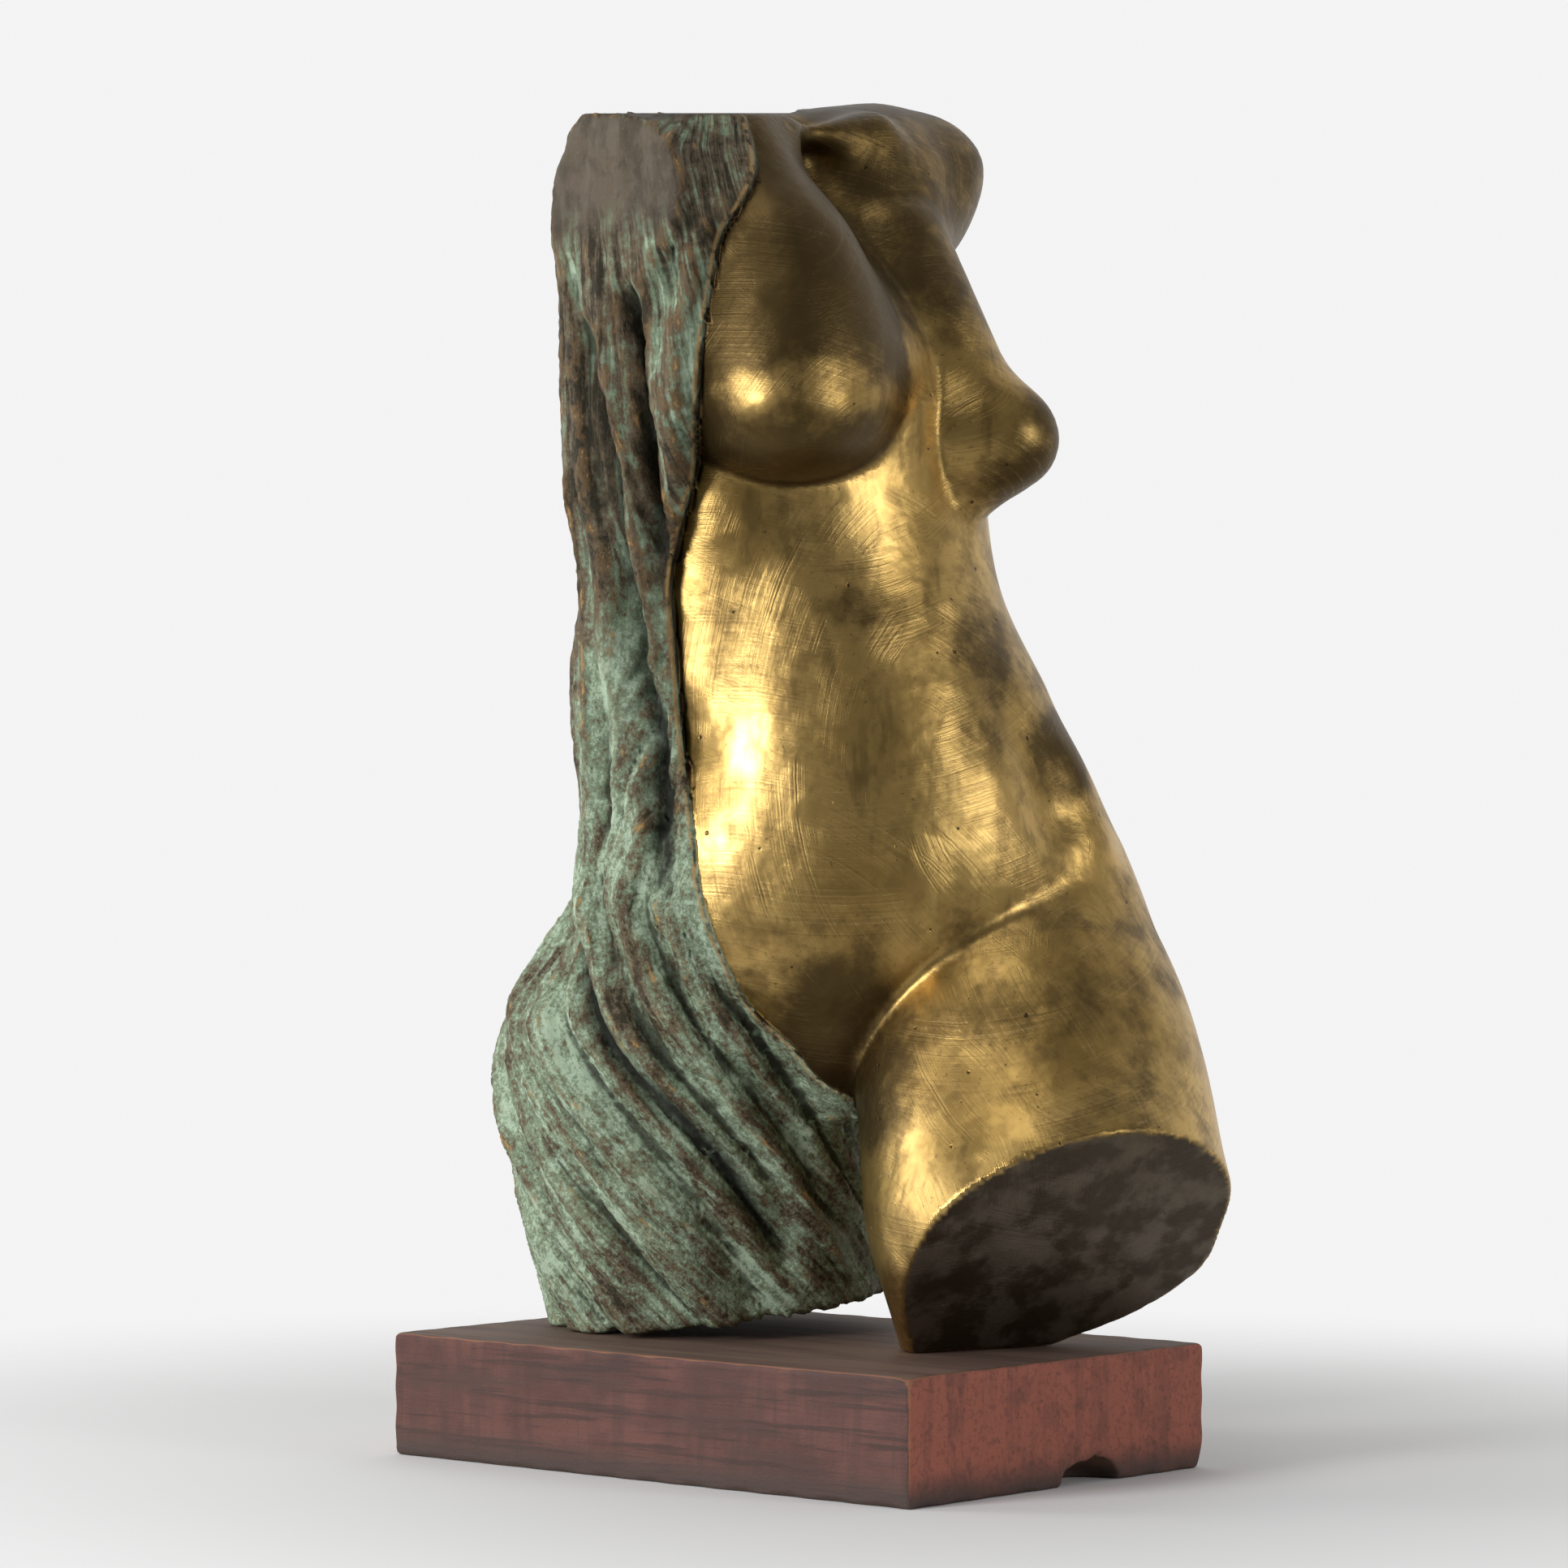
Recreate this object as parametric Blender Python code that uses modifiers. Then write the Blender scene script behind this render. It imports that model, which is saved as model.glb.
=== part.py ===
"""A cast bronze torso of a woman, half covered by a rough drape, on a painted timber plinth.

Metres, +Z up. The origin is the centre of the plinth's underside, the plinth's
length runs along Y and its depth along X. The figure is sculpted in a frame of
its own: x to the figure's left, y to its back, z up from the plinth's top, in
hands of a seventy-seventh of the figure's height, close to a centimetre.
"""
import math

import bmesh
import bpy
import numpy as np
import openvdb
from mathutils import Matrix, Vector

FIGURE_HEIGHT = 0.770
FIGURE_TURN = math.radians(-48.7)
FIGURE_OFFSET = (-0.0127, -0.0022)
SEAT_GAP = 0.0003

PLINTH_LENGTH = 0.420
PLINTH_DEPTH = 0.280
PLINTH_THICKNESS = 0.076
PLINTH_EDGE = 0.0015
WORN_CORNER = 0.007
NOTCH_WIDTH = 0.056
NOTCH_HEIGHT = 0.015
NOTCH_DEPTH = 0.030
NOTCH_FROM_CORNER = 0.111

HANDS_TALL = 77.0
GRID_STEP = 0.5
TORSO_TRIANGLES = 9200

GOLD_BRONZE = (0.33, 0.20, 0.065, 1.0)
PAINTED_TIMBER = (0.16, 0.035, 0.03, 1.0)


def curve(at, knots, column):
    """Smooth curve through the knots' chosen column, read at every height in `at`."""
    heights = np.array([knot[0] for knot in knots], dtype=float)
    values = np.array([knot[column] for knot in knots], dtype=float)
    slopes = np.gradient(values, heights)
    at = np.clip(at, heights[0], heights[-1])
    left = np.clip(np.searchsorted(heights, at, side="right") - 1, 0, len(heights) - 2)
    span = heights[left + 1] - heights[left]
    t = (at - heights[left]) / span
    ease = t * t * (3 - 2 * t)
    lift = t * (1 - t) ** 2 * slopes[left] - t * t * (1 - t) * slopes[left + 1]
    return values[left] * (1 - ease) + values[left + 1] * ease + lift * span


def ramp(value, start, end):
    """Eased step from 0 at `start` to 1 at `end`."""
    t = np.clip((value - start) / (end - start), 0, 1)
    return t * t * (3 - 2 * t)


def join(a, b, soft):
    """Union of two forms, with a fillet about `soft` wide."""
    near = np.maximum(soft - np.abs(a - b), 0) / soft
    return np.minimum(a, b) - near * near * soft / 4


def trim(a, b, soft):
    """The part of form a that is also inside form b, with its edge rounded over `soft`."""
    return -join(-a, -b, soft)


def ball(x, y, z, centre, radii, turn=0.0):
    """Ellipsoid, turned about the vertical by `turn` degrees."""
    c, s = math.cos(math.radians(turn)), math.sin(math.radians(turn))
    dx, dy, dz = x - centre[0], y - centre[1], z - centre[2]
    u, v = dx * c + dy * s, dy * c - dx * s
    near = np.sqrt((u / radii[0]) ** 2 + (v / radii[1]) ** 2 + (dz / radii[2]) ** 2)
    far = np.sqrt((u / radii[0] ** 2) ** 2 + (v / radii[1] ** 2) ** 2 + (dz / radii[2] ** 2) ** 2)
    return near * (near - 1) / np.maximum(far, 1e-6)


def limb(x, y, z, start, start_radius, end, end_radius):
    """Round bar from start to end whose radius changes evenly."""
    run = [b - a for a, b in zip(start, end)]
    length = sum(r * r for r in run)
    t = ((x - start[0]) * run[0] + (y - start[1]) * run[1] + (z - start[2]) * run[2]) / length
    t = np.clip(t, 0, 1)
    gap = [p - a - t * r for p, a, r in zip((x, y, z), start, run)]
    distance = np.sqrt(gap[0] ** 2 + gap[1] ** 2 + gap[2] ** 2)
    return distance - (start_radius + (end_radius - start_radius) * t)


def half_space(x, y, z, point, normal):
    """Everything behind the plane through `point`; `normal` points out of it."""
    size = math.sqrt(sum(n * n for n in normal))
    return sum(n / size * (p - q) for n, p, q in zip(normal, (x, y, z), point))


def loft(x, y, z, stations):
    """Upright form through level sections.

    A station is height, centre x, centre y, half width, reach to the front, reach to
    the back, turn in degrees. Each section is an oval turned about the vertical.
    """
    cx, cy, wide, front, back, turn = (curve(z, stations, i) for i in range(1, 7))
    c, s = np.cos(np.radians(turn)), np.sin(np.radians(turn))
    side = (x - cx) * c + (y - cy) * s
    ahead = (x - cx) * s - (y - cy) * c
    deep = back + (front - back) * ramp(ahead / np.maximum(front, back), -0.25, 0.25)
    size = np.sqrt((side / wide) ** 2 + (ahead / deep) ** 2)
    reach = np.sqrt(side * side + ahead * ahead)
    level = reach * (1 - 1 / np.maximum(size, 1e-3))
    level = np.where(size < 0.2, -0.8 * np.minimum(wide, deep), level)
    ends = np.maximum(stations[0][0] - z, z - stations[-1][0])
    return np.maximum(level, ends)


TRUNK = (
    (14.0, 3.2, 0.8, 2.0, 3.0, 5.0, 5),
    (16, 3.2, 0.5, 3.2, 5.5, 8.0, 5),
    (20, 3.4, 0.3, 7.5, 8.2, 10.0, 7),
    (25, 4.1, 0.2, 14.6, 10.3, 11.0, 9),
    (30, 5.2, 0.2, 15.1, 11.0, 10.6, 12),
    (35, 5.4, 0.4, 13.8, 10.9, 9.6, 17),
    (40, 4.4, 0.6, 12.2, 10.4, 8.5, 24),
    (46, 2.8, 0.6, 11.1, 9.4, 8.0, 31),
    (52, 2.0, 0.6, 11.4, 8.9, 8.6, 37),
    (58, 1.5, 0.6, 12.5, 9.4, 9.3, 42),
    (64, 0.2, 0.8, 12.6, 7.6, 9.3, 46),
    (69, -0.8, 1.8, 10.5, 4.8, 8.0, 50),
    (73, -1.8, 3.2, 7.5, 3.2, 6.0, 52),
    (77, -3.0, 4.0, 5.0, 2.4, 4.5, 52),
)

LEFT_THIGH = (
    (-3, 9.6, -6.8, 2.5, 7.0, 4.0, 30),
    (0, 12.0, -7.0, 5.0, 8.0, 5.0, 30),
    (1.5, 13.9, -7.4, 7.6, 9.0, 6.2, 30),
    (4, 15.6, -8.3, 10.2, 10.5, 8.2, 30),
    (8, 15.9, -8.8, 11.0, 12.0, 11.5, 20),
    (12.5, 15.5, -6.2, 10.9, 12.0, 12.0, 6),
    (17.5, 14.9, -3.0, 10.7, 11.0, 11.5, 0),
    (22.5, 14.4, -0.8, 9.7, 9.8, 11.0, 0),
    (27.5, 13.6, 1.5, 8.0, 7.8, 10.0, 0),
    (33, 12.0, 3.0, 5.5, 4.5, 7.0, 0),
)

RIGHT_THIGH = (
    (-4, -3.0, 10.2, 10.7, 10.3, 10.3, 0),
    (0, -3.7, 9.8, 10.3, 10.4, 10.4, 0),
    (5, -4.6, 8.6, 11.0, 10.8, 10.8, 0),
    (10, -5.4, 7.4, 11.3, 11.0, 11.0, 0),
    (15, -6.2, 6.2, 11.2, 11.0, 11.3, 0),
    (20, -6.4, 5.0, 10.3, 10.6, 11.0, 0),
    (25, -4.6, 4.0, 8.0, 9.0, 10.0, 0),
    (30, -2.5, 3.0, 6.0, 7.0, 8.0, 0),
)

SEAM = (
    (8, 14.0),
    (13, 9.0),
    (15.8, 2.6),
    (18.3, 0.4),
    (20.3, -1.7),
    (23.8, -3.7),
    (26.8, -4.8),
    (32.5, -5.6),
    (37.5, -6.2),
    (42.5, -6.6),
    (46.3, -6.8),
    (50, -6.1),
    (52.5, -5.4),
    (56, -5.2),
    (61.5, -4.7),
    (64.5, -4.2),
    (67, -3.6),
    (68.7, -2.5),
    (70.5, -1.75),
    (73, -2.0),
    (76, -3.0),
)

SPINE = (
    (8, 14.0),
    (16, 6.0),
    (24, 3.0),
    (35, 1.5),
    (46, -2.0),
    (58, -5.0),
    (70, -6.5),
    (78, -7.0),
)

CLOTH = (
    (0, 0.3),
    (15, 0.2),
    (22, 0.4),
    (30, 0.8),
    (46, 1.2),
    (60, 1.2),
    (70, 0.8),
    (77, 0.5),
)

HANGING = (
    (18, -6.5, -2.2, 5.0, 2.0, 4.0, -35),
    (22, -7.8, -2.6, 5.0, 2.8, 4.0, -40),
    (27, -8.7, -3.6, 4.6, 3.0, 4.0, -45),
    (33, -8.9, -4.0, 4.1, 3.0, 4.0, -48),
    (40, -9.6, -4.5, 3.8, 2.9, 4.0, -48),
    (46, -9.2, -5.3, 3.5, 3.0, 4.0, -45),
    (52, -9.3, -6.3, 4.6, 3.0, 4.0, -42),
    (60, -9.2, -7.4, 5.2, 3.0, 4.0, -40),
    (66, -9.8, -7.7, 4.5, 3.0, 4.0, -38),
    (71, -10.5, -8.0, 3.1, 2.4, 3.4, -38),
    (75, -10.4, -8.3, 1.4, 1.2, 1.5, -38),
)


def belly(x, y, z):
    """The trunk, with the flank that fills out towards the cloth's edge."""
    trunk = loft(x, y, z, TRUNK)
    flank = limb(x, y, z, (-3.9, -5.4, 51.0), 2.8, (-4.8, -4.2, 46.0), 2.8)
    flank = join(flank, limb(x, y, z, (-4.8, -4.2, 46.0), 2.8, (-4.6, -4.2, 41.0), 2.7), 0.8)
    return join(trunk, flank, 3.2)


def right_breast(x, y, z):
    """The breast nearest the view, running up into the chest beside the neck."""
    outer = ball(x, y, z, (-1.9, -7.2, 57.7), (5.2, 6.0, 5.3))
    inner = ball(x, y, z, (2.5, -7.0, 58.0), (4.8, 6.0, 5.3))
    chest = limb(x, y, z, (-0.1, -7.0, 62.0), 5.9, (-5.7, -3.9, 74.0), 4.7)
    breast = join(join(outer, inner, 3.5), chest, 3.0)
    keel = limb(x, y, z, (0.5, -11.8, 56.9), 3.3, (-0.4, -8.6, 65.0), 3.7)
    return join(breast, keel, 4.0)


def figure(x, y, z):
    """Distance to the bronze skin, below nought inside."""
    trunk = belly(x, y, z)

    left_shoulder = limb(x, y, z, (0.0, 6.2, 70.9), 5.2, (5.6, 9.6, 71.6), 5.5)
    left_shoulder = join(left_shoulder, limb(x, y, z, (5.6, 9.6, 71.6), 5.3, (8.0, 10.8, 71.8), 5.1), 1.0)
    arm_end = half_space(x, y, z, (13.1, 0.0, 72.2), (0.917, 0.0, -0.398))
    left_shoulder = trim(left_shoulder, arm_end, 1.8)
    neck = limb(x, y, z, (-4.6, 3.0, 66.0), 6.0, (-5.0, 3.4, 80.0), 4.6)
    left_pectoral = limb(x, y, z, (4.6, 4.4, 70.6), 4.3, (7.6, 2.6, 62.0), 4.3)
    shoulder_dip = 0.7 + 1.8 * ramp(z, 75.0, 70.0)
    body = join(join(trunk, neck, 1.5), join(left_shoulder, left_pectoral, 4.5), shoulder_dip)
    clavicle = limb(x, y, z, (0.4, -2.4, 73.6), 0.7, (5.4, 2.2, 74.4), 1.1)
    body = join(body, clavicle, 2.2)
    hollow = ball(x, y, z, (1.6, -2.6, 71.4), (2.2, 1.8, 2.6), 40)
    body = trim(body, -hollow, 1.8)

    left_breast = limb(x, y, z, (10.3, -0.5, 56.4), 4.5, (6.4, 2.5, 67.0), 4.0)
    left_breast = join(left_breast, limb(x, y, z, (9.9, -0.6, 52.8), 3.5, (13.3, -2.0, 55.1), 2.1), 1.2)
    left_tip = ball(x, y, z, (14.0, -2.2, 55.3), (2.2, 2.2, 2.2))
    left_breast = join(left_breast, left_tip, 4.0)
    body = join(body, left_breast, 0.4)
    breast = right_breast(x, y, z)
    body = join(body, breast, 0.5 + 3.2 * ramp(z, 55.5, 61.0))

    left_thigh = loft(x, y, z, LEFT_THIGH)
    left_thigh = trim(left_thigh, half_space(x, y, z, (14.2, -5.7, 0.0), (0.372, -0.651, -0.662)), 0.3)
    groin = 0.8 + 4.2 * ramp(x, 15.0, 23.0) + 4.0 * ramp(y, 1.0, 9.0)
    body = join(body, left_thigh, groin)
    hip_bone = limb(x, y, z, (16.9, -0.9, 34.8), 1.2, (17.5, -2.0, 30.5), 1.2)
    body = join(body, hip_bone, 3.0)
    hip_hollow = limb(x, y, z, (14.4, -8.2, 41.5), 0.6, (17.3, -6.4, 33.0), 1.5)
    body = trim(body, -hip_hollow, 3.6)
    left_buttock = ball(x, y, z, (11.5, 8.0, 24.5), (9.0, 7.5, 8.5))
    body = join(body, left_buttock, 4.0)

    return join(body, drape(x, y, z, join(trunk, breast, 0.5)), 0.15)


FLOW_AXIS = (
    (0, -3.7, 9.5),
    (10, -5.4, 7.4),
    (20, -5.5, 5.0),
    (28, -3.0, 2.0),
    (36, -1.0, 0.5),
    (58, -1.0, 0.0),
    (72, -4.0, -2.0),
)


def flow_angle(x, y, z):
    """Angle about the cloth's own axis, nought to the front, along which its folds run."""
    around = np.arctan2(x - curve(z, FLOW_AXIS, 1), curve(z, FLOW_AXIS, 2) - y)
    swept = 0.059 * np.maximum(27.0 - z, 0) ** 1.15 / 1.4
    return around - swept


FOLDS = (
    (-1.5, 0.70, ((27, -20), (30, -27), (35, -38), (40, -46), (46, -49), (53, -47), (57, -49), (62, -52))),
    (-2.2, 0.60, ((44, -38), (49, -38), (54, -36), (58, -35), (64, -36))),
    (-0.7, 0.50, ((34, -43), (42, -51), (47, -53), (52, -53), (57, -54), (66, -56))),
    (-0.7, 0.55, ((30, -50), (36, -56), (47, -61), (57, -61), (66, -63))),
    (-0.5, 0.60, ((47, -42), (54, -40), (60, -41), (67, -43))),
    (0.5, 0.70, ((30, -33), (36, -43), (45, -44), (56, -43), (66, -46))),
    (0.9, 1.00, ((46, -35), (50, -31), (54, -27), (58, -24), (61, -21), (65, -13), (69, -4))),
    (-0.6, 0.60, ((28, -12), (33, -22), (38, -31), (43, -36))),
    (-1.3, 0.80, ((4, -60), (8, -53), (11, -49), (15, -51), (18, -55), (21, -57), (25, -66), (29, -76))),
    (0.7, 0.90, ((8, -45), (13, -45), (18, -48), (22, -51), (28, -58))),
    (-0.7, 0.70, ((6, -48), (10, -40), (16, -39), (22, -42), (29, -48))),
    (0.5, 0.90, ((5, -35), (10, -31), (17, -30), (24, -33), (30, -38))),
    (-0.8, 0.70, ((7, -30), (13, -20), (17, -20), (23, -25), (29, -30))),
    (0.4, 0.80, ((6, -18), (13, -13), (20, -13), (28, -22))),
    (-0.5, 0.60, ((7, -10), (13, -6), (18, -5), (23, -12))),
    (-0.8, 0.90, ((2, -80), (8, -70), (14, -66), (20, -70), (24, -78))),
    (0.6, 1.10, ((3, -92), (9, -84), (15, -80), (21, -84))),
    (-0.7, 1.00, ((2, -112), (8, -103), (14, -98), (20, -102))),
    (-0.6, 1.00, ((2, -140), (8, -130), (15, -122), (22, -124))),
)


def folds(x, y, z):
    """Height of the cloth's folds over its smooth form, grooves below nought."""
    angle = flow_angle(x, y, z)
    reach = np.hypot(x - curve(z, FLOW_AXIS, 1), y - curve(z, FLOW_AXIS, 2))
    reach = reach * (1 - 0.16 * ramp(z, 27.0, 22.0))
    high = np.zeros(np.broadcast(x, y, z).shape)
    for rise, half_width, path in FOLDS:
        away = angle - np.radians(curve(z, path, 1))
        away = (away + math.pi) % (2 * math.pi) - math.pi
        fade = ramp(z, path[0][0] - 1.0, path[0][0] + 2.0) * ramp(z, path[-1][0] + 1.0, path[-1][0] - 2.0)
        high += rise * fade * np.exp(-(away * reach / half_width) ** 2)
    waver = 0.22 * np.sin(0.21 * z + 2.0 * angle) + 0.10 * np.sin(0.62 * z - 3.0 * angle)
    behind = ramp(np.abs(angle), math.radians(62), math.radians(100)) * ramp(z, 74.0, 66.0)
    waves = np.cos(11 * angle + 2.2 * waver) + 0.6 * np.cos(19 * angle + 3.1 * waver + 1.0)
    return high + 0.42 * (0.25 + 0.75 * behind) * waves


def drape(x, y, z, under):
    """The rough cloth over the right shoulder, flank and thigh, with what it wraps."""
    shoulder = limb(x, y, z, (-3.5, -2.5, 69.6), 5.5, (-9.9, -11.0, 69.2), 4.8)
    shoulder = join(shoulder, ball(x, y, z, (-10.3, -9.2, 72.0), (2.3, 2.3, 2.3)), 0.8)
    hanging = loft(x, y, z, HANGING)
    cut_arm = half_space(x, y, z, (-9.9, -11.0, 69.2), (-0.65, -0.76, 0.0))
    shoulder = join(shoulder, limb(x, y, z, (-3.4, -5.8, 71.5), 3.6, (-6.2, -6.8, 54.0), 2.0), 2.0)
    edge_strip = limb(x, y, z, (-3.4, -8.9, 69.6), 2.1, (-5.6, -9.6, 64.5), 2.2)
    edge_strip = join(edge_strip, limb(x, y, z, (-5.6, -9.6, 64.5), 2.2, (-6.2, -10.1, 58.0), 2.1), 0.8)
    edge_strip = join(edge_strip, limb(x, y, z, (-6.2, -10.1, 58.0), 2.1, (-6.2, -8.0, 53.0), 2.0), 0.8)
    edge_strip = join(edge_strip, limb(x, y, z, (-6.2, -8.0, 53.0), 2.0, (-6.8, -5.3, 46.0), 1.7), 0.8)
    hanging = join(hanging, edge_strip, 1.0)
    shoulder = trim(join(shoulder, hanging, 2.0), cut_arm, 0.4)
    right_buttock = ball(x, y, z, (-4.5, 9.5, 20.5), (9.5, 8.0, 9.0))
    right_thigh = join(loft(x, y, z, RIGHT_THIGH), right_buttock, 5.0)
    base = half_space(x, y, z, (-11.0, 0.0, 0.0), (0.13, 0.03, -1.0))
    right_thigh = trim(right_thigh, base, 0.3)

    near_seam = curve(z, SEAM, 1) - x
    near_spine = curve(z, SPINE, 1) - x
    rear = ramp(y, -2.0, 2.0)
    inward = near_seam * (1 - rear) + near_spine * rear
    covered = 0.35 + (curve(z, CLOTH, 1) - 0.35) * ramp(inward, 0.0, 6.0)
    wrapped = join(join(under, right_thigh, 2.0) - covered, shoulder, 2.0)
    wrapped = wrapped - folds(x, y, z) * ramp(inward, 0.0, 1.5) * ramp(z, 71.0, 65.0)
    wrapped = trim(wrapped, cut_arm, 0.4)
    wrapped = trim(wrapped, base, 0.3)
    return trim(wrapped, -inward, 0.25)


def stand(field, x, y, z):
    """The figure cut flat at the neck and where it bears on the plinth."""
    neck_cut = half_space(x, y, z, (0, 0, 75.5), (0, -0.128, 1.0)) - 3.0 * ramp(x, 0.6, 2.0)
    field = trim(field, neck_cut, 0.3)
    return trim(field, half_space(x, y, z, (0, 0, 0), (0, 0, -1)), 0.2)


def cast(step):
    """The figure's skin as a closed mesh of quads, in hands."""
    low, high = np.array((-21.0, -26.0, -2.0)), np.array((31.0, 26.0, 80.0))
    x, y, z = (np.arange(a, b, step) for a, b in zip(low, high))
    x, y, z = x[:, None, None], y[None, :, None], z[None, None, :]
    field = stand(figure(x, y, z), x, y, z)
    grid = openvdb.FloatGrid(4.0)
    grid.copyFromArray(np.clip(field, -4.0, 4.0).astype(np.float32))
    points, quads = grid.convertToQuads()
    return points * step + low, quads


def add_object(name, mesh, colour, metallic, roughness, collection):
    """Linked object with a plain material of its own."""
    material = bpy.data.materials.new(name)
    material.use_nodes = True
    shader = material.node_tree.nodes["Principled BSDF"]
    shader.inputs["Base Color"].default_value = colour
    shader.inputs["Metallic"].default_value = metallic
    shader.inputs["Roughness"].default_value = roughness
    mesh.materials.append(material)
    made = bpy.data.objects.new(name, mesh)
    collection.objects.link(made)
    return made


def build_torso(collection):
    """The bronze, cast in one, standing on the plinth's top."""
    points, quads = cast(GRID_STEP)
    hand = FIGURE_HEIGHT / HANDS_TALL
    mesh = bpy.data.meshes.new("bronze_torso")
    mesh.from_pydata((points * hand).tolist(), [], quads.tolist())
    mesh.shade_smooth()
    torso = add_object("bronze_torso", mesh, GOLD_BRONZE, 1.0, 0.35, collection)
    turn = Matrix.Rotation(FIGURE_TURN, 4, "Z")
    place = Vector((FIGURE_OFFSET[0], FIGURE_OFFSET[1], PLINTH_THICKNESS + SEAT_GAP))
    torso.matrix_world = Matrix.Translation(place) @ turn
    slim = torso.modifiers.new("fewer faces", "DECIMATE")
    slim.ratio = TORSO_TRIANGLES / (2 * len(quads))
    return torso


def box(size, centre):
    """Mesh data of a plain box."""
    mesh = bpy.data.meshes.new("box")
    sketch = bmesh.new()
    bmesh.ops.create_cube(sketch, size=1.0)
    bmesh.ops.scale(sketch, vec=size, verts=sketch.verts)
    bmesh.ops.translate(sketch, vec=centre, verts=sketch.verts)
    sketch.to_mesh(mesh)
    sketch.free()
    return mesh


def add_cut(target, mesh, cutters):
    """A piece of timber lost from `target`."""
    cutter = bpy.data.objects.new("lost timber", mesh)
    cutter.hide_render = True
    cutter.display_type = "WIRE"
    cutters.objects.link(cutter)
    cut = target.modifiers.new("loss", "BOOLEAN")
    cut.operation = "DIFFERENCE"
    cut.object = cutter


def notch():
    """Rounded bite out of the short end's lower edge, as a squashed drum lying along Y."""
    mesh = bpy.data.meshes.new("notch")
    sketch = bmesh.new()
    bmesh.ops.create_cone(
        sketch, cap_ends=True, segments=16, radius1=0.5, radius2=0.5, depth=2 * NOTCH_DEPTH
    )
    bmesh.ops.scale(sketch, vec=(NOTCH_WIDTH, 2 * NOTCH_HEIGHT, 1.0), verts=sketch.verts)
    bmesh.ops.rotate(sketch, matrix=Matrix.Rotation(math.pi / 2, 3, "X"), verts=sketch.verts)
    place = (PLINTH_DEPTH / 2 - NOTCH_FROM_CORNER, -PLINTH_LENGTH / 2, 0.0)
    bmesh.ops.translate(sketch, vec=place, verts=sketch.verts)
    sketch.to_mesh(mesh)
    sketch.free()
    return mesh


def build_plinth(collection, cutters):
    """The timber block, its edges worn, one top corner knocked off and one lower edge bitten."""
    mesh = box((PLINTH_DEPTH, PLINTH_LENGTH, PLINTH_THICKNESS), (0, 0, PLINTH_THICKNESS / 2))
    plinth = add_object("wooden_plinth", mesh, PAINTED_TIMBER, 0.0, 0.6, collection)
    edge = plinth.modifiers.new("worn edges", "BEVEL")
    edge.width = PLINTH_EDGE
    edge.segments = 2
    corner = box((WORN_CORNER * 4, WORN_CORNER * 4, WORN_CORNER * 4), (0, 0, WORN_CORNER * 2))
    lean = Vector((-1.0, -1.0, 1.0)).to_track_quat("Z", "Y").to_matrix().to_4x4()
    corner.transform(lean)
    inward = Vector((1.0, 1.0, -1.0)) * WORN_CORNER / 3
    tip = Vector((-PLINTH_DEPTH / 2, -PLINTH_LENGTH / 2, PLINTH_THICKNESS))
    corner.transform(Matrix.Translation(tip + inward))
    add_cut(plinth, corner, cutters)
    add_cut(plinth, notch(), cutters)
    return plinth


for old in list(bpy.data.objects):
    bpy.data.objects.remove(old)
sculpture = bpy.data.collections.new("bronze torso sculpture")
bpy.context.scene.collection.children.link(sculpture)
losses = bpy.data.collections.new("lost timber")
bpy.context.scene.collection.children.link(losses)
build_plinth(sculpture, losses)
build_torso(sculpture)
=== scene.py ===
"""The looks of a cast bronze torso on a painted timber plinth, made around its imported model.

Metres, +Z up, in the model's own frame: the origin is under the plinth's centre, the
plinth's length runs along Y. The figure is sculpted in a frame of its own: x to the
figure's left, y to its back, z up from the plinth's top, in hands of a seventy-seventh
of the figure's height, close to a centimetre.
"""
import math

import bmesh
import bpy
import numpy as np
import openvdb
from mathutils import Matrix, Vector


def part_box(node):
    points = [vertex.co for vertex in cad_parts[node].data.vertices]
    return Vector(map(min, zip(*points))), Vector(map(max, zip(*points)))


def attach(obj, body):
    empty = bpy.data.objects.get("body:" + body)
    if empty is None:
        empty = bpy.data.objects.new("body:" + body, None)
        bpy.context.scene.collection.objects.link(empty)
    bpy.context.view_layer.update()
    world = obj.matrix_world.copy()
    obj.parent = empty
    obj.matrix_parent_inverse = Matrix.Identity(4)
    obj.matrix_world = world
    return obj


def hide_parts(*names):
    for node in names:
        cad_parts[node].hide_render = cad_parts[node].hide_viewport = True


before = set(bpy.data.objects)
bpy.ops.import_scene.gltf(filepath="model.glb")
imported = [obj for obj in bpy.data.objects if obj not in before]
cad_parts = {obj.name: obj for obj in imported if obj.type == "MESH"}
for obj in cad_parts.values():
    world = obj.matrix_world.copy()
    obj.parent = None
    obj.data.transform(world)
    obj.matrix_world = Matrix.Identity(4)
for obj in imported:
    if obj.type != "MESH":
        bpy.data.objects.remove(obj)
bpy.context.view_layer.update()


# The figure is one hollow bronze casting, stood on the plinth turned well round from
# its long side. Its bust, belly and left thigh are smooth and were filed and polished;
# neck, arms and thighs end in flat cuts, as the wax was made.
PLINTH_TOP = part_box("wooden_plinth")[1].z
FIGURE_HEIGHT = 0.770
HANDS_TALL = 77.0
HAND = FIGURE_HEIGHT / HANDS_TALL
FIGURE_TURN = math.radians(-48.7)
FIGURE_OFFSET = (-0.0127, -0.0022)
SEAT_GAP = 0.0003
SKIN_LOW = (-21.0, -26.0, -2.0)
SKIN_HIGH = (31.0, 26.0, 80.0)
SKIN_STEP = 0.60
LARGEST_SHIFT = 0.3
COARSE_REACH = 0.15
FINE_REACH = 0.06
CLOTH_MARGIN = 0.6
SHARP_BEND = 0.10
FLANK_ROUNDS = 45


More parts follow.
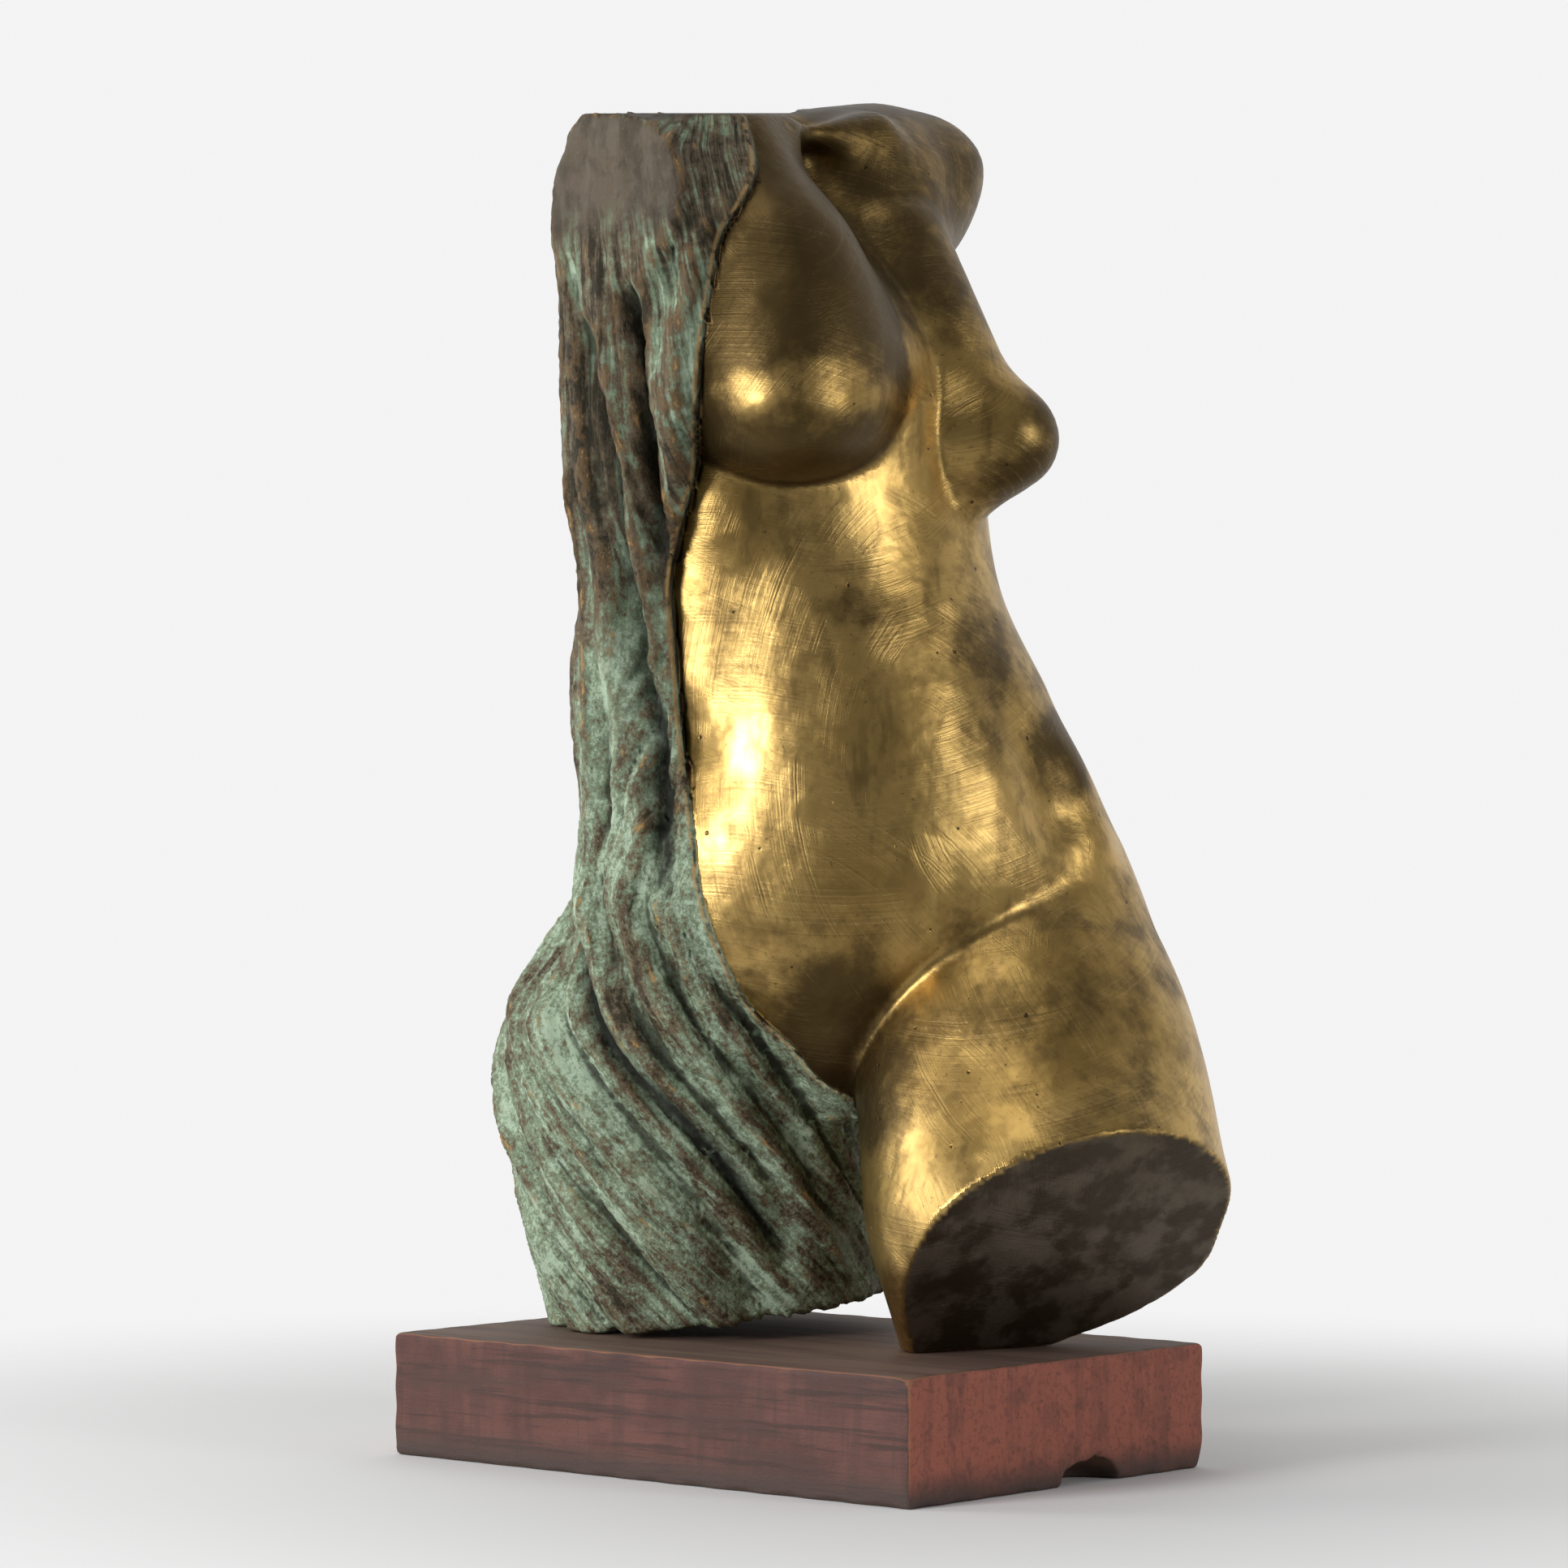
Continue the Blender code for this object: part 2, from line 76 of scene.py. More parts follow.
def curve(at, knots, column):
    """Smooth curve through the knots' chosen column, read at every height in `at`."""
    heights = np.array([knot[0] for knot in knots], dtype=float)
    values = np.array([knot[column] for knot in knots], dtype=float)
    slopes = np.gradient(values, heights)
    at = np.clip(at, heights[0], heights[-1])
    left = np.clip(np.searchsorted(heights, at, side="right") - 1, 0, len(heights) - 2)
    span = heights[left + 1] - heights[left]
    t = (at - heights[left]) / span
    ease = t * t * (3 - 2 * t)
    lift = t * (1 - t) ** 2 * slopes[left] - t * t * (1 - t) * slopes[left + 1]
    return values[left] * (1 - ease) + values[left + 1] * ease + lift * span


def ramp(value, start, end):
    """Eased step from 0 at `start` to 1 at `end`."""
    t = np.clip((value - start) / (end - start), 0, 1)
    return t * t * (3 - 2 * t)


def join(a, b, soft):
    """Union of two forms, with a fillet about `soft` wide."""
    near = np.maximum(soft - np.abs(a - b), 0) / soft
    return np.minimum(a, b) - near * near * soft / 4


def trim(a, b, soft):
    """The part of form a that is also inside form b, with its edge rounded over `soft`."""
    return -join(-a, -b, soft)


def ball(x, y, z, centre, radii, turn=0.0):
    """Ellipsoid, turned about the vertical by `turn` degrees."""
    c, s = math.cos(math.radians(turn)), math.sin(math.radians(turn))
    dx, dy, dz = x - centre[0], y - centre[1], z - centre[2]
    u, v = dx * c + dy * s, dy * c - dx * s
    near = np.sqrt((u / radii[0]) ** 2 + (v / radii[1]) ** 2 + (dz / radii[2]) ** 2)
    far = np.sqrt((u / radii[0] ** 2) ** 2 + (v / radii[1] ** 2) ** 2 + (dz / radii[2] ** 2) ** 2)
    return near * (near - 1) / np.maximum(far, 1e-6)


def limb(x, y, z, start, start_radius, end, end_radius):
    """Round bar from start to end whose radius changes evenly."""
    run = [b - a for a, b in zip(start, end)]
    length = sum(r * r for r in run)
    t = ((x - start[0]) * run[0] + (y - start[1]) * run[1] + (z - start[2]) * run[2]) / length
    t = np.clip(t, 0, 1)
    gap = [p - a - t * r for p, a, r in zip((x, y, z), start, run)]
    distance = np.sqrt(gap[0] ** 2 + gap[1] ** 2 + gap[2] ** 2)
    return distance - (start_radius + (end_radius - start_radius) * t)


def half_space(x, y, z, point, normal):
    """Everything behind the plane through `point`; `normal` points out of it."""
    size = math.sqrt(sum(n * n for n in normal))
    return sum(n / size * (p - q) for n, p, q in zip(normal, (x, y, z), point))


def loft(x, y, z, stations):
    """Upright form through level sections.

    A station is height, centre x, centre y, half width, reach to the front, reach to
    the back, turn in degrees. Each section is an oval turned about the vertical.
    """
    cx, cy, wide, front, back, turn = (curve(z, stations, i) for i in range(1, 7))
    c, s = np.cos(np.radians(turn)), np.sin(np.radians(turn))
    side = (x - cx) * c + (y - cy) * s
    ahead = (x - cx) * s - (y - cy) * c
    deep = back + (front - back) * ramp(ahead / np.maximum(front, back), -0.25, 0.25)
    size = np.sqrt((side / wide) ** 2 + (ahead / deep) ** 2)
    reach = np.sqrt(side * side + ahead * ahead)
    level = reach * (1 - 1 / np.maximum(size, 1e-3))
    level = np.where(size < 0.2, -0.8 * np.minimum(wide, deep), level)
    ends = np.maximum(stations[0][0] - z, z - stations[-1][0])
    return np.maximum(level, ends)


TRUNK = (
    (14.0, 3.2, 0.8, 2.0, 3.0, 5.0, 5),
    (16, 3.2, 0.5, 3.2, 5.5, 8.0, 5),
    (20, 3.4, 0.3, 7.5, 8.2, 10.0, 7),
    (25, 4.1, 0.2, 14.6, 10.3, 11.0, 9),
    (30, 5.2, 0.2, 15.1, 11.0, 10.6, 12),
    (35, 5.4, 0.4, 13.8, 10.9, 9.6, 17),
    (40, 4.4, 0.6, 12.2, 10.4, 8.5, 24),
    (46, 2.8, 0.6, 11.1, 9.4, 8.0, 31),
    (52, 2.0, 0.6, 11.4, 8.9, 8.6, 37),
    (58, 1.5, 0.6, 12.5, 9.4, 9.3, 42),
    (64, 0.2, 0.8, 12.6, 7.6, 9.3, 46),
    (69, -0.8, 1.8, 10.5, 4.8, 8.0, 50),
    (73, -1.8, 3.2, 7.5, 3.2, 6.0, 52),
    (77, -3.0, 4.0, 5.0, 2.4, 4.5, 52),
)

LEFT_THIGH = (
    (-3, 9.6, -6.8, 2.5, 7.0, 4.0, 30),
    (0, 12.0, -7.0, 5.0, 8.0, 5.0, 30),
    (1.5, 13.9, -7.4, 7.6, 9.0, 6.2, 30),
    (4, 15.6, -8.3, 10.2, 10.5, 8.2, 30),
    (8, 15.9, -8.8, 11.0, 12.0, 11.5, 20),
    (12.5, 15.5, -6.2, 10.9, 12.0, 12.0, 6),
    (17.5, 14.9, -3.0, 10.7, 11.0, 11.5, 0),
    (22.5, 14.4, -0.8, 9.7, 9.8, 11.0, 0),
    (27.5, 13.6, 1.5, 8.0, 7.8, 10.0, 0),
    (33, 12.0, 3.0, 5.5, 4.5, 7.0, 0),
)

THIGH_CUT = ((14.2, -5.7, 0.0), (0.372, -0.651, -0.662))
NECK_CUT = ((0, 0, 75.5), (0, -0.128, 1.0))
ARM_CUT = ((-9.9, -11.0, 69.2), (-0.65, -0.76, 0.0))
RIGHT_THIGH_BASE = ((-11.0, 0.0, 0.0), (0.13, 0.03, -1.0))


def belly(x, y, z):
    """The trunk, with the flank that fills out towards the cloth's edge."""
    trunk = loft(x, y, z, TRUNK)
    flank = limb(x, y, z, (-3.9, -5.4, 51.0), 2.8, (-4.8, -4.2, 46.0), 2.8)
    flank = join(flank, limb(x, y, z, (-4.8, -4.2, 46.0), 2.8, (-4.6, -4.2, 41.0), 2.7), 0.8)
    return join(trunk, flank, 3.2)


def right_breast(x, y, z):
    """The breast nearest the view, running up into the chest beside the neck."""
    outer = ball(x, y, z, (-1.9, -7.2, 57.7), (5.2, 6.0, 5.3))
    inner = ball(x, y, z, (2.5, -7.0, 58.0), (4.8, 6.0, 5.3))
    chest = limb(x, y, z, (-0.1, -7.0, 62.0), 5.9, (-5.7, -3.9, 74.0), 4.7)
    breast = join(join(outer, inner, 3.5), chest, 3.0)
    keel = limb(x, y, z, (0.5, -11.8, 56.9), 3.3, (-0.4, -8.6, 65.0), 3.7)
    return join(breast, keel, 4.0)


def nude(x, y, z, trunk, breast):
    """The smooth, polished part: bust, belly, left hip and left thigh."""
    left_shoulder = limb(x, y, z, (0.0, 6.2, 70.9), 5.2, (5.6, 9.6, 71.6), 5.5)
    left_shoulder = join(left_shoulder, limb(x, y, z, (5.6, 9.6, 71.6), 5.3, (8.0, 10.8, 71.8), 5.1), 1.0)
    arm_end = half_space(x, y, z, (13.1, 0.0, 72.2), (0.917, 0.0, -0.398))
    left_shoulder = trim(left_shoulder, arm_end, 1.8)
    neck = limb(x, y, z, (-4.6, 3.0, 66.0), 6.0, (-5.0, 3.4, 80.0), 4.6)
    left_pectoral = limb(x, y, z, (4.6, 4.4, 70.6), 4.3, (7.6, 2.6, 62.0), 4.3)
    shoulder_dip = 0.7 + 1.8 * ramp(z, 75.0, 70.0)
    body = join(join(trunk, neck, 1.5), join(left_shoulder, left_pectoral, 4.5), shoulder_dip)
    clavicle = limb(x, y, z, (0.4, -2.4, 73.6), 0.7, (5.4, 2.2, 74.4), 1.1)
    body = join(body, clavicle, 2.2)
    hollow = ball(x, y, z, (1.6, -2.6, 71.4), (2.2, 1.8, 2.6), 40)
    body = trim(body, -hollow, 1.8)

    left_breast = limb(x, y, z, (10.3, -0.5, 56.4), 4.5, (6.4, 2.5, 67.0), 4.0)
    left_breast = join(left_breast, limb(x, y, z, (9.9, -0.6, 52.8), 3.5, (13.3, -2.0, 55.1), 2.1), 1.2)
    left_tip = ball(x, y, z, (14.0, -2.2, 55.3), (2.2, 2.2, 2.2))
    left_breast = join(left_breast, left_tip, 4.0)
    body = join(body, left_breast, 0.4)
    body = join(body, breast, 0.5 + 3.2 * ramp(z, 55.5, 61.0))

    left_thigh = loft(x, y, z, LEFT_THIGH)
    left_thigh = trim(left_thigh, half_space(x, y, z, *THIGH_CUT), 0.3)
    groin = 0.8 + 4.2 * ramp(x, 15.0, 23.0) + 4.0 * ramp(y, 1.0, 9.0)
    body = join(body, left_thigh, groin)
    hip_bone = limb(x, y, z, (16.9, -0.9, 34.8), 1.2, (17.5, -2.0, 30.5), 1.2)
    body = join(body, hip_bone, 3.0)
    hip_hollow = limb(x, y, z, (14.4, -8.2, 41.5), 0.6, (17.3, -6.4, 33.0), 1.5)
    body = trim(body, -hip_hollow, 3.6)
    left_buttock = ball(x, y, z, (11.5, 8.0, 24.5), (9.0, 7.5, 8.5))
    return join(body, left_buttock, 4.0)


# The drape was laid on the wax as a soaked cloth and cast with it: it hangs from the
# right shoulder's stump in deep folds, swings round the hip and wraps the right thigh
# down to the plinth. SEAM and SPINE are its front and back edges, x by height.
SEAM = (
    (8, 14.0),
    (13, 9.0),
    (15.8, 2.6),
    (18.3, 0.4),
    (20.3, -1.7),
    (23.8, -3.7),
    (26.8, -4.8),
    (32.5, -5.6),
    (37.5, -6.2),
    (42.5, -6.6),
    (46.3, -6.8),
    (50, -6.1),
    (52.5, -5.4),
    (56, -5.2),
    (61.5, -4.7),
    (64.5, -4.2),
    (67, -3.6),
    (68.7, -2.5),
    (70.5, -1.75),
    (73, -2.0),
    (76, -3.0),
)

SPINE = (
    (8, 14.0),
    (16, 6.0),
    (24, 3.0),
    (35, 1.5),
    (46, -2.0),
    (58, -5.0),
    (70, -6.5),
    (78, -7.0),
)

CLOTH = (
    (0, 0.3),
    (15, 0.2),
    (22, 0.4),
    (30, 0.8),
    (46, 1.2),
    (60, 1.2),
    (70, 0.8),
    (77, 0.5),
)

HANGING = (
    (18, -6.5, -2.2, 5.0, 2.0, 4.0, -35),
    (22, -7.8, -2.6, 5.0, 2.8, 4.0, -40),
    (27, -8.7, -3.6, 4.6, 3.0, 4.0, -45),
    (33, -8.9, -4.0, 4.1, 3.0, 4.0, -48),
    (40, -9.6, -4.5, 3.8, 2.9, 4.0, -48),
    (46, -9.2, -5.3, 3.5, 3.0, 4.0, -45),
    (52, -9.3, -6.3, 4.6, 3.0, 4.0, -42),
    (60, -9.2, -7.4, 5.2, 3.0, 4.0, -40),
    (66, -9.8, -7.7, 4.5, 3.0, 4.0, -38),
    (71, -10.5, -8.0, 3.1, 2.4, 3.4, -38),
    (75, -10.4, -8.3, 1.4, 1.2, 1.5, -38),
)

RIGHT_THIGH = (
    (-4, -3.0, 10.2, 10.7, 10.3, 10.3, 0),
    (0, -3.7, 9.8, 10.3, 10.4, 10.4, 0),
    (5, -4.6, 8.6, 11.0, 10.8, 10.8, 0),
    (10, -5.4, 7.4, 11.3, 11.0, 11.0, 0),
    (15, -6.2, 6.2, 11.2, 11.0, 11.3, 0),
    (20, -6.4, 5.0, 10.3, 10.6, 11.0, 0),
    (25, -4.6, 4.0, 8.0, 9.0, 10.0, 0),
    (30, -2.5, 3.0, 6.0, 7.0, 8.0, 0),
)

FLOW_AXIS = (
    (0, -3.7, 9.5),
    (10, -5.4, 7.4),
    (20, -5.5, 5.0),
    (28, -3.0, 2.0),
    (36, -1.0, 0.5),
    (58, -1.0, 0.0),
    (72, -4.0, -2.0),
)

FOLDS = (
    (-1.5, 0.70, ((27, -20), (30, -27), (35, -38), (40, -46), (46, -49), (53, -47), (57, -49), (62, -52))),
    (-2.2, 0.60, ((44, -38), (49, -38), (54, -36), (58, -35), (64, -36))),
    (-0.7, 0.50, ((34, -43), (42, -51), (47, -53), (52, -53), (57, -54), (66, -56))),
    (-0.7, 0.55, ((30, -50), (36, -56), (47, -61), (57, -61), (66, -63))),
    (-0.5, 0.60, ((47, -42), (54, -40), (60, -41), (67, -43))),
    (0.5, 0.70, ((30, -33), (36, -43), (45, -44), (56, -43), (66, -46))),
    (0.9, 1.00, ((46, -35), (50, -31), (54, -27), (58, -24), (61, -21), (65, -13), (69, -4))),
    (-0.6, 0.60, ((28, -12), (33, -22), (38, -31), (43, -36))),
    (-1.3, 0.80, ((4, -60), (8, -53), (11, -49), (15, -51), (18, -55), (21, -57), (25, -66), (29, -76))),
    (0.7, 0.90, ((8, -45), (13, -45), (18, -48), (22, -51), (28, -58))),
    (-0.7, 0.70, ((6, -48), (10, -40), (16, -39), (22, -42), (29, -48))),
    (0.5, 0.90, ((5, -35), (10, -31), (17, -30), (24, -33), (30, -38))),
    (-0.8, 0.70, ((7, -30), (13, -20), (17, -20), (23, -25), (29, -30))),
    (0.4, 0.80, ((6, -18), (13, -13), (20, -13), (28, -22))),
    (-0.5, 0.60, ((7, -10), (13, -6), (18, -5), (23, -12))),
    (-0.8, 0.90, ((2, -80), (8, -70), (14, -66), (20, -70), (24, -78))),
    (0.6, 1.10, ((3, -92), (9, -84), (15, -80), (21, -84))),
    (-0.7, 1.00, ((2, -112), (8, -103), (14, -98), (20, -102))),
    (-0.6, 1.00, ((2, -140), (8, -130), (15, -122), (22, -124))),
)


def flow_angle(x, y, z):
    """Angle about the cloth's own axis, nought to the front, along which its folds run."""
    around = np.arctan2(x - curve(z, FLOW_AXIS, 1), curve(z, FLOW_AXIS, 2) - y)
    swept = 0.059 * np.maximum(27.0 - z, 0) ** 1.15 / 1.4
    return around - swept


def folds(x, y, z):
    """Height of the cloth's folds over its smooth form, grooves below nought."""
    angle = flow_angle(x, y, z)
    reach = np.hypot(x - curve(z, FLOW_AXIS, 1), y - curve(z, FLOW_AXIS, 2))
    reach = reach * (1 - 0.16 * ramp(z, 27.0, 22.0))
    high = np.zeros(np.broadcast(x, y, z).shape)
    for rise, half_width, path in FOLDS:
        away = angle - np.radians(curve(z, path, 1))
        away = (away + math.pi) % (2 * math.pi) - math.pi
        fade = ramp(z, path[0][0] - 1.0, path[0][0] + 2.0) * ramp(z, path[-1][0] + 1.0, path[-1][0] - 2.0)
        high += rise * fade * np.exp(-(away * reach / half_width) ** 2)
    waver = 0.22 * np.sin(0.21 * z + 2.0 * angle) + 0.10 * np.sin(0.62 * z - 3.0 * angle)
    behind = ramp(np.abs(angle), math.radians(62), math.radians(100)) * ramp(z, 74.0, 66.0)
    waves = np.cos(11 * angle + 2.2 * waver) + 0.6 * np.cos(19 * angle + 3.1 * waver + 1.0)
    return high + 0.42 * (0.25 + 0.75 * behind) * waves


def inside_edge(x, y, z):
    """How far a point lies inside the cloth's edge, in hands."""
    near_seam = curve(z, SEAM, 1) - x
    near_spine = curve(z, SPINE, 1) - x
    rear = ramp(y, -2.0, 2.0)
    return near_seam * (1 - rear) + near_spine * rear


def drape(x, y, z, under):
    """The rough cloth over the right shoulder, flank and thigh, with what it wraps."""
    shoulder = limb(x, y, z, (-3.5, -2.5, 69.6), 5.5, (-9.9, -11.0, 69.2), 4.8)
    shoulder = join(shoulder, ball(x, y, z, (-10.3, -9.2, 72.0), (2.3, 2.3, 2.3)), 0.8)
    hanging = loft(x, y, z, HANGING)
    cut_arm = half_space(x, y, z, *ARM_CUT)
    shoulder = join(shoulder, limb(x, y, z, (-3.4, -5.8, 71.5), 3.6, (-6.2, -6.8, 54.0), 2.0), 2.0)
    edge_strip = limb(x, y, z, (-3.4, -8.9, 69.6), 2.1, (-5.6, -9.6, 64.5), 2.2)
    edge_strip = join(edge_strip, limb(x, y, z, (-5.6, -9.6, 64.5), 2.2, (-6.2, -10.1, 58.0), 2.1), 0.8)
    edge_strip = join(edge_strip, limb(x, y, z, (-6.2, -10.1, 58.0), 2.1, (-6.2, -8.0, 53.0), 2.0), 0.8)
    edge_strip = join(edge_strip, limb(x, y, z, (-6.2, -8.0, 53.0), 2.0, (-6.8, -5.3, 46.0), 1.7), 0.8)
    hanging = join(hanging, edge_strip, 1.0)
    shoulder = trim(join(shoulder, hanging, 2.0), cut_arm, 0.4)
    right_buttock = ball(x, y, z, (-4.5, 9.5, 20.5), (9.5, 8.0, 9.0))
    right_thigh = join(loft(x, y, z, RIGHT_THIGH), right_buttock, 5.0)
    base = half_space(x, y, z, *RIGHT_THIGH_BASE)
    right_thigh = trim(right_thigh, base, 0.3)

    inward = inside_edge(x, y, z)
    covered = 0.35 + (curve(z, CLOTH, 1) - 0.35) * ramp(inward, 0.0, 6.0)
    wrapped = join(join(under, right_thigh, 2.0) - covered, shoulder, 2.0)
    wrapped = wrapped - folds(x, y, z) * ramp(inward, 0.0, 1.5) * ramp(z, 71.0, 65.0)
    wrapped = trim(wrapped, cut_arm, 0.4)
    wrapped = trim(wrapped, base, 0.3)
    return trim(wrapped, -inward, 0.25)


def figure(x, y, z):
    """Distance to the bronze skin, below nought inside, cut flat at the neck and where it bears."""
    trunk = belly(x, y, z)
    breast = right_breast(x, y, z)
    whole = join(nude(x, y, z, trunk, breast), drape(x, y, z, join(trunk, breast, 0.5)), 0.15)
    neck_cut = half_space(x, y, z, *NECK_CUT) - 3.0 * ramp(x, 0.6, 2.0)
    whole = trim(whole, neck_cut, 0.3)
    return trim(whole, half_space(x, y, z, (0, 0, 0), (0, 0, -1)), 0.2)


def skin(form, low, high, step):
    """Closed mesh of quads on a form's surface."""
    x, y, z = (np.arange(a, b, step) for a, b in zip(low, high))
    field = form(x[:, None, None], y[None, :, None], z[None, None, :])
    far = 4 * step
    grid = openvdb.FloatGrid(far)
    grid.copyFromArray(np.clip(field, -far, far).astype(np.float32))
    points, quads = grid.convertToQuads()
    return points * step + np.array(low), quads


def slope(form, points, reach):
    """A form's distance at each point, and the direction out of it, read at four points around."""
    corners = np.array(((1, -1, -1), (-1, -1, 1), (-1, 1, -1), (1, 1, 1)))
    read = [form(*(points + corner * reach).T) for corner in corners]
    rise = sum(value[:, None] * corner for value, corner in zip(read, corners)) / (4 * reach)
    return sum(read) / 4, rise


def settle(form, points, reach, rounds):
    """Moves points onto the form's surface, and gives the surface's direction there."""
    for _ in range(rounds):
        at, rise = slope(form, points, reach)
        shift = -at / np.maximum((rise ** 2).sum(1), 0.05)
        points = points + rise * np.clip(shift, -LARGEST_SHIFT, LARGEST_SHIFT)[:, None]
    _, rise = slope(form, points, reach)
    return points, rise / np.maximum(np.linalg.norm(rise, axis=1, keepdims=True), 1e-6)


def neighbour_mean(values, edges, count):
    """Mean of each vertex's neighbours' values, for values of one or more columns."""
    values = values.reshape(count, -1)
    ends = np.concatenate((edges[:, 0], edges[:, 1]))
    others = np.concatenate((edges[:, 1], edges[:, 0]))
    share = np.maximum(np.bincount(ends, minlength=count), 1)
    sums = [np.bincount(ends, weights=values[others, i], minlength=count) for i in range(values.shape[1])]
    return np.stack(sums, axis=1) / share[:, None]


def mesh_arrays(mesh):
    """A mesh's vertex places and edges as arrays."""
    points = np.empty(len(mesh.vertices) * 3)
    mesh.vertices.foreach_get("co", points)
    edges = np.empty(len(mesh.edges) * 2, dtype=np.int64)
    mesh.edges.foreach_get("vertices", edges)
    return points.reshape(-1, 3), edges.reshape(-1, 2)


def finer(mesh, chosen):
    """Splits the chosen faces in four, and their neighbours to match."""
    sketch = bmesh.new()
    sketch.from_mesh(mesh)
    sketch.faces.ensure_lookup_table()
    edges = {edge for index in chosen for edge in sketch.faces[index].edges}
    ordered = sorted(edges, key=lambda edge: edge.index)
    bmesh.ops.subdivide_edges(sketch, edges=ordered, cuts=1, use_grid_fill=True)
    large = [face for face in sketch.faces if len(face.verts) > 4]
    bmesh.ops.triangulate(sketch, faces=large)
    sketch.to_mesh(mesh)
    sketch.free()


points, quads = skin(figure, SKIN_LOW, SKIN_HIGH, SKIN_STEP)
bronze_mesh = bpy.data.meshes.new("bronze_figure")
bronze_mesh.from_pydata(points.tolist(), [], quads.tolist())
_, edges = mesh_arrays(bronze_mesh)
points, out = settle(figure, points, COARSE_REACH, 2)

corners = points[quads]
middles = corners.mean(axis=1)
covered = inside_edge(*middles.T) > -CLOTH_MARGIN
bend = 1 - np.abs((out[quads[:, 0]] * out[quads[:, 2]]).sum(1))
sharp = bend > SHARP_BEND
bronze_mesh.vertices.foreach_set("co", points.ravel())
finer(bronze_mesh, np.flatnonzero(covered | sharp))
points, edges = mesh_arrays(bronze_mesh)
points, _ = settle(figure, points, FINE_REACH, 1)
points = 0.5 * (points + neighbour_mean(points, edges, len(points)))
points, out = settle(figure, points, FINE_REACH, 2)

# Beside and behind the left hip the thigh's top is worked smooth into the flank.
flank = ramp(points[:, 2], 30.0, 33.0) * ramp(points[:, 2], 40.5, 37.5) * ramp(points[:, 1], -4.5, -0.5)
flank = (flank * ramp(points[:, 0], 1.0, 4.0) * ramp(inside_edge(*points.T), -0.4, -1.4))[:, None]
for _ in range(FLANK_ROUNDS):
    points = points + flank * (neighbour_mean(points, edges, len(points)) - points)
    out = out + flank * (neighbour_mean(out, edges, len(out)) - out)
out = out / np.linalg.norm(out, axis=1, keepdims=True)


def rough_places(points, out):
    """Masks from 0 to 1 over the skin, for cloth and flat cut faces, and how far in the cloth lies."""
    inward = inside_edge(*points.T)
    cloth = ramp(inward, -0.05, 0.12) * ramp(loft(*points.T, LEFT_THIGH), 0.1, 0.5)
    cuts = []
    for point, normal in (THIGH_CUT, NECK_CUT, ARM_CUT):
        direction = np.array(normal) / np.linalg.norm(normal)
        depth = half_space(*points.T, point, normal)
        cuts.append(ramp(out @ direction, 0.80, 0.97) * ramp(np.abs(depth), 0.7, 0.3))
    cuts[2] = cuts[2] * ramp(points[:, 2], 65.0, 69.5)
    return cloth, cuts, inward


def slots(points):
    """Mask from 0 to 1 over the deep, narrow slots between the cloth's cords, where painted shade goes."""
    x, y, z = points.T
    angle = flow_angle(x, y, z)
    reach = np.hypot(x - curve(z, FLOW_AXIS, 1), y - curve(z, FLOW_AXIS, 2))
    dark = np.zeros(len(points))
    for rise, half_width, path in FOLDS:
        if rise < -1.0:
            away = (angle - np.radians(curve(z, path, 1)) + math.pi) % (2 * math.pi) - math.pi
            fade = ramp(z, path[0][0], path[0][0] + 3.0) * ramp(z, path[-1][0], path[-1][0] - 3.0)
            dark = np.maximum(dark, fade * np.exp(-(away * reach / (0.8 * half_width)) ** 2))
    return dark


# Where the smooth bronze has browned, or been rubbed bright; some patches are painted shade
# over a lamp's highlight and some negative ones are painted highlights: x, z, half width, half
# height and how strongly, on the side that faces the view.
TARNISH_SHADE_AND_SHEEN_PATCHES = (
    (4.8, 44.6, 2.8, 1.3, 0.55),
    (11.9, 39.5, 2.0, 5.5, 0.40),
    (7.8, 46.8, 1.6, 2.6, 0.20),
    (12.6, 44.0, 2.4, 4.5, 0.25),
    (-3.2, 45.5, 1.5, 2.2, 0.20),
    (-2.2, 41.5, 3.2, 3.0, 0.24),
    (16.9, 35.5, 2.0, 3.2, 0.50),
    (13.5, 22.5, 5.0, 5.0, 0.34),
    (3.0, 25.5, 4.0, 3.4, 0.35),
    (9.0, 29.5, 3.4, 1.6, -0.10),
    (21.0, 20.0, 4.0, 8.0, 0.36),
    (17.0, 12.0, 6.0, 3.0, 0.14),
    (-4.4, 57.5, 1.4, 2.6, 0.25),
    (2.8, 57.6, 3.4, 1.4, -0.30),
    (-2.6, 57.2, 1.9, 1.2, -0.35),
    (9.6, 54.6, 2.0, 2.2, -0.40),
    (1.6, 49.4, 4.6, 1.2, -0.25),
)


def tarnish_shade_and_sheen(points, out):
    """How brown the smooth bronze is made: real browning most on chest, neck and groin, least where it is
    handled, with painted shade on faces turned down and in some patches, and painted highlights in others.
    """
    x, y, z = points.T
    on_breast = ramp(right_breast(x, y, z), 0.5, 0.1)
    chest = ramp(z, 57.0, 66.0)
    tip = ramp(ball(x, y, z, (15.0, -2.5, 54.0), (3.0, 3.0, 3.0)), 2.0, 0.0)
    groin = ramp(ball(x, y, z, (3.6, -9.0, 17.5), (3.4, 6.0, 4.5)), 3.0, 0.0)
    waist = ramp(x, 12.0, 16.0) * ramp(z, 32.0, 37.0) * 0.4
    # Faces turned down get browner: painted shade.
    low = ramp(-out[:, 2], 0.25, 0.8)
    brown = 0.75 * chest + 0.62 * on_breast + 0.35 * tip + 0.7 * groin + waist + 0.3 * low
    for middle_x, middle_z, wide, tall, amount in TARNISH_SHADE_AND_SHEEN_PATCHES:
        away = np.hypot((x - middle_x) / wide, (z - middle_z) / tall)
        brown = brown + amount * ramp(away, 1.35, 0.65) * ramp(y, 3.0, -1.0)
    return np.clip(brown, 0, 1)


